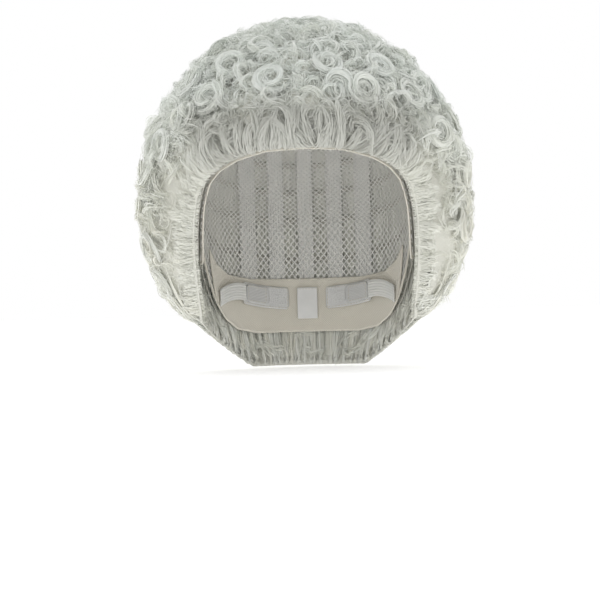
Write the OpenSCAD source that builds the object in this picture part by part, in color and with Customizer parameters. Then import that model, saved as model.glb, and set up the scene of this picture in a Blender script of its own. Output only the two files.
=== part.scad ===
// Costume wig: a full head of short, tight curls on an elastic, machine wefted cap.
// Frame: +Z up, the face opening looks towards -Y, +X is the wearer's left.
// The origin is the middle of the head, at the line where its circumference is taken.
// A direction on the head is an azimuth (0 at the forehead, 90 at the left ear, 180 at the nape)
// and a polar angle (0 at the crown, 90 at the circumference line).

/* [Head] */
// Width of the head that the cap fits
head_width = 155; // [130:1:186]
// Length of that head, forehead to back
head_length = 195; // [163:1:234]
// Height of the crown above the circumference line
crown_height = 95; // [80:1:114]
// How slowly the head narrows below the circumference line
nape_taper = 150; // [135:1:180]

/* [Cap edge] */
// Height of the hairline at the middle of the forehead
hairline_height = 44; // [37:1:53]
// Height of the hairline where it turns down at the temples
temple_height = 24; // [20:1:29]
// How far the ear tabs reach below the circumference line
ear_tab_drop = 30; // [25:1:36]
// How far the edge above the ears lies below the circumference line
ear_arch_drop = 8; // [6:1:10]
// How far the nape of the cap reaches below the circumference line
nape_drop = 80; // [70:1:96]

/* [Hair] */
// Thickness of the curls at the sides
side_hair = 41; // [34:1:50]
// Thickness of the curls on the crown
top_hair = 47; // [39:1:57]
// Thickness of the curls over the forehead
front_hair = 21; // [17:1:26]
// Thickness of the curls at the back
back_hair = 37; // [30:1:45]
// Height of the widest part of the hair
widest_height = 15; // [12:1:18]
// How far the side curls hang below the ear tabs
side_hair_hang = 38; // [32:1:46]
// How far the nape curls hang below the nape of the cap
nape_hair_hang = 20; // [17:1:24]
// Radius to which the edge of the hair is rounded
edge_round = 22; // [18:1:27]
// Room that the hair leaves for the ears
ear_room = 12; // [9:1:15]
// Gap between the hair of one weft and the next
hair_gap = 0.9; // [0.7:0.1:1.2]

/* [Cap] */
// Thickness of the forehead, nape and ear fabric
band_thickness = 0.9; // [0.7:0.1:1]
// Thickness of the stretch net
net_thickness = 0.4; // [0.3:0.1:0.5]
// Thickness of the elastic ribbons
ribbon_thickness = 0.7; // [0.6:0.1:0.8]
// Width of the elastic ribbons
ribbon_width = 12; // [10:1:15]
// Thickness of a sewn weft
track_thickness = 1.1; // [0.9:0.1:1.4]
// Width of a sewn weft
track_width = 3.6; // [3:0.1:4.4]
// Width of the forehead band
forehead_band_width = 17; // [14:1:21]
// Height of the ear tabs
ear_tab_height = 36; // [30:1:43]
// Width of the nape band
nape_band_width = 40; // [36:1:48]
// Width of the binding above the ears
binding_width = 6; // [5:0.5:7.5]
// Clearance between one layer of the cap and the next
layer_gap = 0.5; // [0.45:0.05:0.6]

/* [Adjusters] */
// Height of the loop patches inside the nape
patch_height = 17; // [14:1:20]
// Thickness of a loop patch
patch_thickness = 0.8; // [0.6:0.1:1]
// Length of a hook tab
tab_length = 22; // [18:1:25]
// Height of a hook tab
tab_height = 14; // [12:1:16]
// Thickness of a hook tab
tab_thickness = 1.2; // [1:0.1:1.4]
// How far a hook tab travels, from loose to tight
tab_travel = 14; // [11:1:17]
// Clearance between a hook tab and its patch
tab_gap = 0.35; // [0.3:0.05:0.5]
// Thickness of the elastic straps
strap_thickness = 0.8; // [0.6:0.1:1]
// Height of the middle of the adjusters below the circumference line
adjuster_drop = 56; // [54:1:60]
// Width of the care label
label_width = 15; // [12:1:18]
// Length of the care label
label_length = 24; // [20:1:29]

/* [Hidden] */

// Half axes of the head, and of its lower half
head_a = head_width / 2;
head_b = head_length / 2;

// Half axes and centre of the outside of the hair
hair_a = head_a + side_hair;
hair_b = head_b + (front_hair + back_hair) / 2;
hair_c = crown_height + top_hair - widest_height;
hair_y = (back_hair - front_hair) / 2;

// How far the lowest hair lies below the circumference line
side_hair_drop = ear_tab_drop + side_hair_hang;
nape_hair_drop = nape_drop + nape_hair_hang;

// The lower half axis of the outside reaches a little past the lowest hair
hair_taper = 1.1043;
hair_low = (nape_hair_drop + widest_height) * hair_taper;

// The facets grow with the head, so on a head larger than this the layers stand further apart
facet_width = 155;
facet_length = 195;
layer_step = layer_gap * max(1, head_width / facet_width, head_length / facet_length);

// Distance of each layer from the head: bands, net, ribbons, wefts and hair, in that order
band_in = 0.3;
band_out = band_in + band_thickness;
net_in = band_out + layer_step;
net_out = net_in + net_thickness;
ribbon_in = net_out + layer_step;
ribbon_out = ribbon_in + ribbon_thickness;
track_in = ribbon_out + layer_step;
track_out = track_in + track_thickness;
hair_in = track_out + layer_step;

// Azimuths that part the pieces of the edge
temple_azimuth = 62;
tab_back = 84;
ear_back = 104;
nape_corner = 114;
part_gap = 0.6;

// Share of the way from crown to edge at which the rows of wefts start
ROWS = 9;
function row_start(i) = i / (ROWS + 1);
last_row = row_start(ROWS);

// Azimuths of the grid that every ring is built on: closer where the edge turns down
HALF_GRID = concat(
    [for (e = [0:8:48]) e], [52, 56, 60], [for (e = [62:2:72]) e], [76, 80, 84, 92, 98],
    [for (e = [104:4:120]) e], [for (e = [128:8:176]) e]
);
FULL_GRID = concat(HALF_GRID, [180], [for (i = [len(HALF_GRID) - 1:-1:1]) 360 - HALF_GRID[i]]);
function grid_between(from, to) = concat(
    [from],
    [for (e = concat(FULL_GRID - [for (x = FULL_GRID) 360], FULL_GRID)) if (from < e && e < to) e],
    [to]
);

// Height of the cap's edge, and of the lowest hair, against azimuth
CAP_EDGE = [
    [0, hairline_height], [22, hairline_height - 1], [40, hairline_height - 6],
    [52, (hairline_height + temple_height) / 2 - 2], [60, temple_height], [64, temple_height / 3],
    [68, -ear_tab_drop * 0.7], [71, -ear_tab_drop], [76, -ear_tab_drop], [80, -ear_tab_drop * 0.8],
    [86, -ear_arch_drop], [98, -ear_arch_drop], [104, -ear_arch_drop - nape_drop * 0.12],
    [109, -nape_drop / 2], [114, -nape_drop * 0.72], [120, -nape_drop * 0.86],
    [130, -nape_drop * 0.96], [146, -nape_drop], [180, -nape_drop]
];
HAIR_EDGE = [
    [0, hairline_height - 1], [22, hairline_height - 2], [40, hairline_height - 8],
    [52, (hairline_height + temple_height) / 2 - 5], [60, temple_height - 4], [64, -2],
    [68, -side_hair_drop * 0.68], [71, -side_hair_drop * 0.9], [76, -side_hair_drop],
    [98, -side_hair_drop], [120, -(side_hair_drop + nape_hair_drop) / 2],
    [140, -nape_hair_drop], [180, -nape_hair_drop]
];

// Azimuth folded to the left half, 0 to 180
function folded(e) = let (m = (e % 360 + 360) % 360) m > 180 ? 360 - m : m;

// Polar angle on the head at a height
function head_polar(z) = acos(z / (z >= 0 ? crown_height : nape_taper));
function cap_polar(e) = head_polar(lookup(folded(e), CAP_EDGE));
function hair_edge_polar(e) = head_polar(lookup(folded(e), HAIR_EDGE));

// The outside reaches further down towards the nape, so that the hair stays full behind the neck
nape_fill = 0.25;
function low_axis(e) = hair_low * (1 + nape_fill * pow(max(0, -cos(e)), 2));

// Polar angle on the outside of the hair at an azimuth and a height
function outer_polar(e, z) = acos((z - widest_height) / (z >= widest_height ? hair_c : low_axis(e)));

// A point at distance d from the head
function on_head(e, t, d) = [
    (head_a + d) * sin(t) * sin(e),
    -(head_b + d) * sin(t) * cos(e),
    ((t < 90 ? crown_height : nape_taper) + d) * cos(t)
];

// A point on the outside of the hair
function on_hair(e, s) = [
    hair_a * sin(s) * sin(e),
    hair_y - hair_b * sin(s) * cos(e),
    widest_height + (s < 90 ? hair_c : low_axis(e)) * cos(s)
];

// From crown to edge, w runs from 0 to 1. Rows near the crown are plain rounds, and rows nearer the
// edge follow it more and more. The last row also falls past the cap to the hair's edge.
function blend(a, b, w) = a + (b - a) * w;
function past(w) = max(0, (w - last_row) / (1 - last_row));
function plain_polar(e) = blend(cap_polar(0), cap_polar(180), (1 - cos(e)) / 2);
function row_polar(e, w) = w * blend(plain_polar(e), cap_polar(e), w * w);
function inner_polar(e, w) = w <= last_row
    ? row_polar(e, w)
    : blend(row_polar(e, last_row), hair_edge_polar(e), past(w));
function outer_edge(e) = outer_polar(e, lookup(folded(e), HAIR_EDGE));
function outer_cap(e) = outer_polar(e, lookup(folded(e), CAP_EDGE));
function plain_outer(e) = blend(outer_cap(0), outer_cap(180), (1 - cos(e)) / 2);
function row_outer(e, w) = w * blend(plain_outer(e), outer_cap(e), w * w);
function hair_polar(e, w) = w <= last_row
    ? row_outer(e, w)
    : blend(row_outer(e, last_row), outer_edge(e), past(w));

// The hair stands off a little over the ears, within so many degrees and so far up and down
ear_azimuth = 94;
ear_height = -28;
ear_spread = 22;
ear_reach = 40;
function ear_bump(e, t) =
    let (
        across = (folded(e) - ear_azimuth) / ear_spread,
        down = (nape_taper * cos(t) - ear_height) / ear_reach
    )
    t < 90 ? 0 : max(0, 1 - across * across) * max(0, 1 - down * down);
function inner_hair(e, w) =
    let (t = inner_polar(e, w)) on_head(e, t, hair_in + ear_room * ear_bump(e, t));

// Share of the full thickness that the hair has near its edge, as a quarter round. Over the forehead
// the round is wider.
thin_edge = 0.14;
forehead_round = 1.3;
function edge_distance(e, w) =
    (hair_edge_polar(e) - inner_polar(e, w)) * (head_a + head_b) / 2 * PI / 180;
function fullness(e, w) =
    let (
        wide = edge_round * (folded(e) < temple_azimuth ? forehead_round : 1),
        x = min(1, edge_distance(e, w) / wide)
    )
    max(thin_edge, sqrt(1 - (1 - x) * (1 - x)));
function outer_hair(e, w) = blend(inner_hair(e, w), on_hair(e, hair_polar(e, w)), fullness(e, w));

// A closed solid through rings of points. Each ring has the same number of points, listed the same
// way round; flipped names the one edge of the ring whose faces are cut on the other diagonal.
// A ring goes along the inside and back along the outside, so an open end is closed by a ladder.
module through_rings(rings, loop = false, flipped = -1) {
    n = len(rings);
    m = len(rings[0]);
    steps = loop ? n : n - 1;
    function at(i, j) = (i % n) * m + (j % m);
    sides = [
        for (i = [0:steps - 1], j = [0:m - 1], k = [0, 1])
            j == flipped
                ? (k == 0 ? [at(i, j), at(i, j + 1), at(i + 1, j)]
                          : [at(i + 1, j), at(i, j + 1), at(i + 1, j + 1)])
                : (k == 0 ? [at(i, j), at(i + 1, j + 1), at(i + 1, j)]
                          : [at(i, j), at(i, j + 1), at(i + 1, j + 1)])
    ];
    last = n - 1;
    ends = loop ? [] : [
        for (j = [0:m / 2 - 2], k = [0:3])
            k == 0 ? [at(0, j), at(0, m - 2 - j), at(0, j + 1)]
            : k == 1 ? [at(0, j), at(0, m - 1 - j), at(0, m - 2 - j)]
            : k == 2 ? [at(last, j), at(last, j + 1), at(last, m - 2 - j)]
            : [at(last, j), at(last, m - 2 - j), at(last, m - 1 - j)]
    ];
    polyhedron(points = [for (r = rings, p = r) p], faces = concat(sides, ends));
}

// A strip that lies on the head between two polar angles at each azimuth
function strip_ring(e, t0, t1, d0, d1, cuts) = concat(
    [for (i = [0:cuts]) on_head(e, blend(t0, t1, i / cuts), d0)],
    [for (i = [cuts:-1:0]) on_head(e, blend(t0, t1, i / cuts), d1)]
);
function degrees_for(length) = length / ((head_a + head_b) / 2) * 180 / PI;

// The polar angle that a length takes up on the head at a point of it
function polar_for(e, t, length) =
    let (
        across = norm([head_a * sin(e), head_b * cos(e)]) * cos(t),
        down = (t < 90 ? crown_height : nape_taper) * sin(t)
    )
    length / norm([across, down]) * 180 / PI;

// A strip of a given width along the edge of the cap
module edge_strip(azimuths, width, d0, d1, inset = 0, cuts = 1) {
    through_rings([
        for (e = azimuths)
            let (edge = cap_polar(e), t = edge - polar_for(e, edge, inset))
            strip_ring(e, t - polar_for(e, edge, width), t, d0, d1, cuts)
    ]);
}

// A domed cap of one thickness over the crown, down to a share w of the way to the edge
module crown_dome(w, d0, d1, rings) {
    m = len(FULL_GRID);
    top = [for (i = [1:rings], e = FULL_GRID) on_head(e, row_polar(e, w * i / rings), d1)];
    bottom = [for (i = [1:rings], e = FULL_GRID) on_head(e, row_polar(e, w * i / rings), d0)];
    crown_shell(top, bottom, on_head(0, 0, d1), on_head(0, 0, d0), rings, m);
}

// A shell between two stacks of rings, each closed by a point at the crown
module crown_shell(top, bottom, top_point, bottom_point, rings, m) {
    n = rings * m;
    function up(i, j) = i * m + j % m;
    function down(i, j) = n + i * m + j % m;
    polyhedron(
        points = concat(top, bottom, [top_point, bottom_point]),
        faces = concat(
            [for (j = [0:m - 1]) [up(0, j + 1), up(0, j), 2 * n]],
            [for (j = [0:m - 1]) [down(0, j), down(0, j + 1), 2 * n + 1]],
            [for (i = [0:rings - 2], j = [0:m - 1]) [up(i, j), up(i, j + 1), up(i + 1, j + 1)]],
            [for (i = [0:rings - 2], j = [0:m - 1]) [up(i, j), up(i + 1, j + 1), up(i + 1, j)]],
            [for (i = [0:rings - 2], j = [0:m - 1]) [down(i, j), down(i + 1, j + 1), down(i, j + 1)]],
            [for (i = [0:rings - 2], j = [0:m - 1]) [down(i, j), down(i + 1, j), down(i + 1, j + 1)]],
            [for (j = [0:m - 1]) [up(rings - 1, j), up(rings - 1, j + 1), down(rings - 1, j + 1)]],
            [for (j = [0:m - 1]) [up(rings - 1, j), down(rings - 1, j + 1), down(rings - 1, j)]]
        )
    );
}

// The stretch net, a dome with a hole for the crown net. It stops short of the cap's edge.
crown_share = 0.115;
crown_gap_share = 0.015;
net_inset = 1.5;
module cap_net() {
    cuts = 14;
    color("gainsboro") through_rings([
        for (e = FULL_GRID)
            strip_ring(e, row_polar(e, crown_share + crown_gap_share),
                       cap_polar(e) - polar_for(e, cap_polar(e), net_inset), net_in, net_out, cuts)
    ], loop = true);
}

module crown_net() {
    color("lightgray") crown_dome(crown_share, net_in, net_out, 2);
}

module forehead_band() {
    color("ivory")
        edge_strip(grid_between(-temple_azimuth, temple_azimuth), forehead_band_width,
                   band_in, band_out, cuts = 2);
}

// The ear tab, a soft tongue in front of the ear
module ear_tab() {
    edge_strip(grid_between(temple_azimuth + part_gap, tab_back), ear_tab_height,
               band_in, band_out, cuts = 4);
}

module left_ear_tab() {
    color("ivory") ear_tab();
}

module right_ear_tab() {
    color("ivory") mirror([1, 0, 0]) ear_tab();
}

module ear_binding() {
    edge_strip(grid_between(tab_back + part_gap, nape_corner), binding_width,
               band_in, band_out);
}

module left_ear_binding() {
    color("ivory") ear_binding();
}

module right_ear_binding() {
    color("ivory") mirror([1, 0, 0]) ear_binding();
}

module nape_band() {
    start = nape_corner + part_gap;
    color("ivory")
        edge_strip(grid_between(start, 360 - start), nape_band_width, band_in, band_out, cuts = 3);
}

// An elastic ribbon that runs from the forehead over the crown to the nape, at a set distance from
// the middle. The angle u is 0 at the front of the circumference line and 90 at the top.
function on_ribbon(x, u, d) =
    let (r = sqrt(1 - pow(x / (head_a + d), 2)), rise = (u <= 180 ? crown_height : nape_taper) + d)
    [x, -(head_b + d) * r * cos(u), rise * r * sin(u)];
ribbon_inset = 4;
function ribbon_front(x) =
    asin(hairline_height / (crown_height * sqrt(1 - pow(x / head_a, 2))));
function ribbon_back(x) =
    180 + asin((nape_drop - ribbon_inset) / (nape_taper * sqrt(1 - pow(x / head_a, 2))));
module ribbon(x) {
    steps = 28;
    low = ribbon_front(x) + degrees_for(ribbon_inset);
    high = ribbon_back(x) - degrees_for(ribbon_inset) / 2;
    half = ribbon_width / 2;
    through_rings([
        for (i = [0:steps])
            let (u = blend(low, high, i / steps))
            [
                on_ribbon(x - half, u, ribbon_in), on_ribbon(x, u, ribbon_in),
                on_ribbon(x + half, u, ribbon_in), on_ribbon(x + half, u, ribbon_out),
                on_ribbon(x, u, ribbon_out), on_ribbon(x - half, u, ribbon_out)
            ]
    ]);
}

inner_ribbon_x = 22;
outer_ribbon_x = 43;
module centre_ribbon() {
    color("whitesmoke") ribbon(0);
}

module left_inner_ribbon() {
    color("whitesmoke") ribbon(inner_ribbon_x);
}

module right_inner_ribbon() {
    color("whitesmoke") mirror([1, 0, 0]) ribbon(inner_ribbon_x);
}

module left_outer_ribbon() {
    color("whitesmoke") ribbon(outer_ribbon_x);
}

module right_outer_ribbon() {
    color("whitesmoke") mirror([1, 0, 0]) ribbon(outer_ribbon_x);
}

// The adjusters lie on a round that follows the inside of the nape. Its axis leans with the nape.
adjuster_shrink = sqrt(1 - pow(adjuster_drop / nape_taper, 2));
adjuster_a = head_a * adjuster_shrink;
adjuster_b = head_b * adjuster_shrink;
nape_lean = atan(head_b * adjuster_drop / (nape_taper * nape_taper * adjuster_shrink));
near_x = 8;
far_x = 45;
function nape_y(x) = adjuster_b * sqrt(1 - pow(x / adjuster_a, 2));
round_y = (near_x * near_x + pow(nape_y(near_x), 2) - far_x * far_x - pow(nape_y(far_x), 2))
    / (2 * (nape_y(near_x) - nape_y(far_x)));
round_r = sqrt(near_x * near_x + pow(nape_y(near_x) - round_y, 2));
lining_gap = 1.3;
patch_outside = round_r - lining_gap;
tab_outside = patch_outside - patch_thickness - tab_gap;
tab_inside = tab_outside - tab_thickness;
function arc_degrees(length) = length / tab_outside * 180 / PI;
tab_end = 51;
tab_start = tab_end - arc_degrees(tab_length);
patch_margin = 2;
patch_end = tab_end + patch_margin;
patch_start = tab_start - arc_degrees(tab_travel) - patch_margin;

// The axis of the round, placed so that the round meets the nape's middle at the adjusters' height
module at_nape() {
    translate([
        0,
        round_y + round_r * (1 - cos(nape_lean)),
        round_r * sin(nape_lean) - adjuster_drop
    ]) rotate([-nape_lean, 0, 0]) children();
}

// A curved plate between two radii, standing on the round's axis; angles run from the nape's middle
module nape_plate(r_in, r_out, height, from, to) {
    at_nape() rotate([0, 0, 90 - to]) rotate_extrude(angle = to - from, $fn = 180)
        translate([r_in, -height / 2]) square([r_out - r_in, height]);
}

module loop_patch() {
    nape_plate(patch_outside - patch_thickness, patch_outside, patch_height,
               patch_start, patch_end);
}

module left_loop_patch() {
    color("white") loop_patch();
}

module right_loop_patch() {
    color("white") mirror([1, 0, 0]) loop_patch();
}

module hook_tab() {
    nape_plate(tab_inside, tab_outside, tab_height, tab_start, tab_end);
}

module left_hook_tab() {
    color("snow") hook_tab();
}

module right_hook_tab() {
    color("snow") mirror([1, 0, 0]) hook_tab();
}

// The elastic strap from the corner of the nape to the outer end of the hook tab. It is swept from
// the tab's end face to a point just inside the corner, so it starts square to the tab.
strap_height = tab_height - 1;
strap_gap = 0.4;
anchor_azimuth = nape_corner + 3;
anchor_rise = 2;
anchor = on_head(
    anchor_azimuth, head_polar(anchor_rise - adjuster_drop), -strap_gap * 2 - strap_thickness / 2
);
function on_round(angle, r) =
    let (
        across = r * sin(angle),
        inward = round_r - r * cos(angle)
    )
    [
        across,
        round_y + round_r - inward * cos(nape_lean),
        inward * sin(nape_lean) - adjuster_drop
    ];
strap_start = on_round(tab_end + arc_degrees(strap_gap), (tab_inside + tab_outside) / 2);
round_up = [0, sin(nape_lean), cos(nape_lean)];
start_out = [sin(tab_end), cos(tab_end) * cos(nape_lean), -cos(tab_end) * sin(nape_lean)];
anchor_out = [
    anchor[0] / pow(head_a, 2), anchor[1] / pow(head_b, 2), anchor[2] / pow(nape_taper, 2)
] * head_a;
start_way = cross(start_out, round_up);
function along_strap(u) =
    let (
        reach = norm(anchor - strap_start) / 2,
        a = blend(strap_start, strap_start + start_way * reach, u),
        b = blend(strap_start + start_way * reach, anchor, u)
    )
    blend(a, b, u);
module adjuster_strap() {
    steps = 6;
    through_rings([
        for (i = [0:steps])
            let (
                u = i / steps,
                p = along_strap(u),
                out = blend(start_out, anchor_out, u),
                up = round_up * strap_height / 2,
                wall = out / norm(out) * strap_thickness / 2
            )
            [p - up - wall, p + up - wall, p + up + wall, p - up + wall]
    ]);
}

module left_adjuster_strap() {
    color("whitesmoke") adjuster_strap();
}

module right_adjuster_strap() {
    color("whitesmoke") mirror([1, 0, 0]) adjuster_strap();
}

// A blank satin label between the two patches, level with their tops
label_thickness = 0.5;
label_inset = 2 * lining_gap;
module care_label() {
    color("white") at_nape()
        translate([-label_width / 2, round_r - label_inset, patch_height / 2 - label_length])
            cube([label_width, label_thickness, label_length]);
}

// A weft: the sewn heading that the hair hangs from, a little below the top of its row
heading_share = 0.012;
module weft_track(i) {
    w = row_start(i) + heading_share;
    color("linen") through_rings([
        for (e = FULL_GRID)
            let (t = row_polar(e, w))
            strip_ring(e, t, t + polar_for(e, t, track_width), track_in, track_out, 1)
    ], loop = true);
}

module weft_1_track() { weft_track(1); }
module weft_2_track() { weft_track(2); }
module weft_3_track() { weft_track(3); }
module weft_4_track() { weft_track(4); }
module weft_5_track() { weft_track(5); }
module weft_6_track() { weft_track(6); }
module weft_7_track() { weft_track(7); }
module weft_8_track() { weft_track(8); }

// The wefts along the cap's edge, set in from it; the one round the nape lies farther in
front_inset = 1;
nape_inset = 2;
module edge_track(azimuths, inset) {
    edge_strip(azimuths, track_width, track_in, track_out, inset);
}

module front_track() {
    color("linen") edge_track(grid_between(-temple_azimuth, temple_azimuth), front_inset);
}

module temple_track() {
    edge_track(grid_between(temple_azimuth + part_gap, ear_back), front_inset);
}

module left_temple_track() {
    color("linen") temple_track();
}

module right_temple_track() {
    color("linen") mirror([1, 0, 0]) temple_track();
}

module nape_track() {
    start = ear_back + part_gap;
    color("linen") edge_track(grid_between(start, 360 - start), nape_inset);
}

// The hair of one row, between two shares of the way from crown to edge
function gap_share(e) = degrees_for(hair_gap / 2) / cap_polar(e);
function hair_ring(e, w0, w1, cuts) =
    let (from = w0 + gap_share(e), to = w1 < 1 ? w1 - gap_share(e) : 1)
    concat(
        [for (i = [0:cuts]) inner_hair(e, blend(from, to, i / cuts))],
        [for (i = [cuts:-1:0]) outer_hair(e, blend(from, to, i / cuts))]
    );
module hair_row(azimuths, w0, w1, cuts, loop) {
    through_rings([for (e = azimuths) hair_ring(e, w0, w1, cuts)], loop, 2 * cuts + 1);
}

module weft_hair(i) {
    color(i % 2 == 0 ? "white" : "ghostwhite")
        hair_row(FULL_GRID, row_start(i), row_start(i + 1), 2, true);
}

module crown_hair() {
    rings = 2;
    m = len(FULL_GRID);
    function share(e, i) = (row_start(1) - gap_share(e)) * i / rings;
    top = [for (i = [1:rings], e = FULL_GRID) on_hair(e, hair_polar(e, share(e, i)))];
    bottom = [for (i = [1:rings], e = FULL_GRID) inner_hair(e, share(e, i))];
    color("white") crown_shell(top, bottom, on_hair(0, 0), on_head(0, 0, hair_in), rings, m);
}

module weft_1_hair() { weft_hair(1); }
module weft_2_hair() { weft_hair(2); }
module weft_3_hair() { weft_hair(3); }
module weft_4_hair() { weft_hair(4); }
module weft_5_hair() { weft_hair(5); }
module weft_6_hair() { weft_hair(6); }
module weft_7_hair() { weft_hair(7); }
module weft_8_hair() { weft_hair(8); }

edge_cuts = 5;
module front_hair_roll() {
    color("white")
        hair_row(grid_between(-temple_azimuth, temple_azimuth), last_row, 1, edge_cuts, false);
}

module temple_hair() {
    hair_row(grid_between(temple_azimuth + part_gap, ear_back), last_row, 1, edge_cuts, false);
}

module left_temple_hair() {
    color("ghostwhite") temple_hair();
}

module right_temple_hair() {
    color("ghostwhite") mirror([1, 0, 0]) temple_hair();
}

module nape_hair() {
    start = ear_back + part_gap;
    color("white") hair_row(grid_between(start, 360 - start), last_row, 1, edge_cuts, false);
}

forehead_band();
left_ear_tab();
right_ear_tab();
left_ear_binding();
right_ear_binding();
nape_band();
cap_net();
crown_net();
centre_ribbon();
left_inner_ribbon();
right_inner_ribbon();
left_outer_ribbon();
right_outer_ribbon();
left_loop_patch();
right_loop_patch();
left_hook_tab();
right_hook_tab();
left_adjuster_strap();
right_adjuster_strap();
care_label();
weft_1_track();
weft_2_track();
weft_3_track();
weft_4_track();
weft_5_track();
weft_6_track();
weft_7_track();
weft_8_track();
front_track();
left_temple_track();
right_temple_track();
nape_track();
crown_hair();
weft_1_hair();
weft_2_hair();
weft_3_hair();
weft_4_hair();
weft_5_hair();
weft_6_hair();
weft_7_hair();
weft_8_hair();
front_hair_roll();
left_temple_hair();
right_temple_hair();
nape_hair();
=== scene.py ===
"""A costume wig of short white curls on an elastic wefted cap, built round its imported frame.

Everything is in metres: +Z up, the face opening towards -Y, +X the wearer's left. A direction on the
head is an azimuth (0 at the forehead, 90 degrees at the left ear, 180 at the nape) and a polar angle
(0 at the crown).
"""

import math

import bmesh
import bpy
import numpy as np
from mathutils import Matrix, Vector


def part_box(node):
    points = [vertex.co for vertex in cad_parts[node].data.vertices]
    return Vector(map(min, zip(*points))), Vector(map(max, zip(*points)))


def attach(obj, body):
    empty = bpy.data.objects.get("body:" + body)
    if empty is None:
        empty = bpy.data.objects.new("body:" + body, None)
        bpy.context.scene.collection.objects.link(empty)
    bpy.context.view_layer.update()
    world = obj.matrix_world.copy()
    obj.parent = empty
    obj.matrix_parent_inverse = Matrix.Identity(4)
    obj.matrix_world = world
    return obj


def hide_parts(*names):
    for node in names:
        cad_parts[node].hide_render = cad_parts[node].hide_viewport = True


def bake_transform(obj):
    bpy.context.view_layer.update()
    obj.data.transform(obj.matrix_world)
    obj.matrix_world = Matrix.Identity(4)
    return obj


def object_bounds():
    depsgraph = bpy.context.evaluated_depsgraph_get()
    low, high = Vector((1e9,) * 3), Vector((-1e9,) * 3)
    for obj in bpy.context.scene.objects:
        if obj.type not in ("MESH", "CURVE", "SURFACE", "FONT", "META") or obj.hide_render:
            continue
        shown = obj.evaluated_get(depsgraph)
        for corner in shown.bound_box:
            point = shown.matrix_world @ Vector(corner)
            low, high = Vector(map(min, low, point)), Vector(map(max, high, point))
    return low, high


bl_info = {
    "name": "Costume Wig",
    "version": (1, 0, 0),
    "blender": (4, 5, 0),
    "location": "View3D > Sidebar > Wig",
    "description": "Builds a curly costume wig, its wefted cap and a plain studio round it",
    "category": "Object",
}

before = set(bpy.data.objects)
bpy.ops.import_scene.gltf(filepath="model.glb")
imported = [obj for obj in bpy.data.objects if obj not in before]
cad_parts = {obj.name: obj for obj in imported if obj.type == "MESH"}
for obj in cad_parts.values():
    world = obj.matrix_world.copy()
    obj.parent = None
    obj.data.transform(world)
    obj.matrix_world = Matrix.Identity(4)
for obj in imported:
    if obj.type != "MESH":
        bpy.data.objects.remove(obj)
CAD_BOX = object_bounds()
MM = 0.001

# ---------------------------------------------------------------- the shape of the head and the hair

# Distance of each layer of the cap from the head: where it starts and where it ends
LAYERS = {
    "band": (0.3 * MM, 1.2 * MM),
    "net": (1.7 * MM, 2.1 * MM),
    "ribbon": (2.6 * MM, 3.3 * MM),
    "weft": (3.8 * MM, 4.9 * MM),
}
HAIR_IN = 5.4 * MM

# Half axes of the head, from the net that fits it: width, length, crown, and the slow taper below
HEAD_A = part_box("cap_net")[1][0] - LAYERS["net"][1]
HEAD_B = 97.5 * MM
HEAD_UP = 95 * MM
HEAD_DOWN = 150 * MM

# Half axes and centre of the outside of the hair
HAIR_A = CAD_BOX[1][0]
HAIR_B = 126.5 * MM
HAIR_Y = 8 * MM
HAIR_Z = 15 * MM
HAIR_C = CAD_BOX[1][2] - HAIR_Z

# By how much longer the lower half axis is at the nape
NAPE_FILL = 0.25

# Radius to which the hair's edge is rounded, and by how much more it is over the forehead
EDGE_ROUND = 24 * MM
FOREHEAD_ROUND = 0.3

# Room for the ears: how far the hair stands off, round which azimuth and depth, and how far round it
EAR_ROOM = 12 * MM
EAR_AT, EAR_SPREAD = 94, 22
EAR_LOW, EAR_REACH = 28 * MM, 40 * MM

# Rows of hair between crown and edge; the last one follows the edge
ROWS = 9
LAST_ROW = ROWS / (ROWS + 1)

# Azimuths in degrees that part the pieces along the edge, and the gap between them
TEMPLE, TAB_BACK, EAR_BACK, HAIR_BACK, PART = 62, 84, 114, 104, 0.6

# How far under the outside of the hair the painted shade colour is reached, and the hair's mean half axis
SHADE_DEPTH = 17 * MM
MEAN_AXIS = 110 * MM

# Height of the cap's edge and of the lowest hair, in mm, against azimuth in degrees
CAP_EDGE = np.array([
    (0, 44), (22, 43), (40, 38), (52, 32), (60, 24), (64, 8), (68, -21), (71, -30), (76, -30),
    (80, -24), (86, -8), (98, -8), (104, -17.6), (109, -40), (114, -57.6), (120, -68.8),
    (130, -76.8), (146, -80), (180, -80),
])
HAIR_EDGE = np.array([
    (0, 43), (22, 42), (40, 36), (52, 29), (60, 20), (64, -2), (68, -46), (71, -61), (76, -68),
    (98, -68), (120, -84), (140, -100), (180, -100),
])


def folded(e):
    """The azimuth in degrees, folded to the left half: 0 at the forehead to 180 at the nape."""
    turned = np.degrees(e) % 360
    return np.minimum(turned, 360 - turned)


def head_polar(z):
    """The polar angle on the head at a height: the arc cosine of the height over the half axis."""
    return np.arccos(np.clip(z / np.where(z >= 0, HEAD_UP, HEAD_DOWN), -1, 1))


def edge_polar(e, table):
    """The polar angle of an edge that a table of heights gives."""
    return head_polar(np.interp(folded(e), table[:, 0], table[:, 1]) * MM)


def low_axis(e):
    """The lower half axis of the hair, longer towards the nape so that the hair stays full there."""
    return HAIR_C * (1 + NAPE_FILL * np.clip(-np.cos(e), 0, 1) ** 2)


def outer_polar(e, table):
    """The polar angle, seen from the middle of the hair, of an edge that a table of heights gives."""
    z = np.interp(folded(e), table[:, 0], table[:, 1]) * MM - HAIR_Z
    return np.arccos(np.clip(z / np.where(z >= 0, HAIR_C, low_axis(e)), -1, 1))


def on_head(e, t, d):
    """A point d outside the head: an ellipsoid with half axes d longer than the head's."""
    up = np.where(t < math.pi / 2, HEAD_UP, HEAD_DOWN)
    return np.stack(np.broadcast_arrays(
        (HEAD_A + d) * np.sin(t) * np.sin(e),
        -(HEAD_B + d) * np.sin(t) * np.cos(e),
        (up + d) * np.cos(t),
    ), axis=-1)


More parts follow.
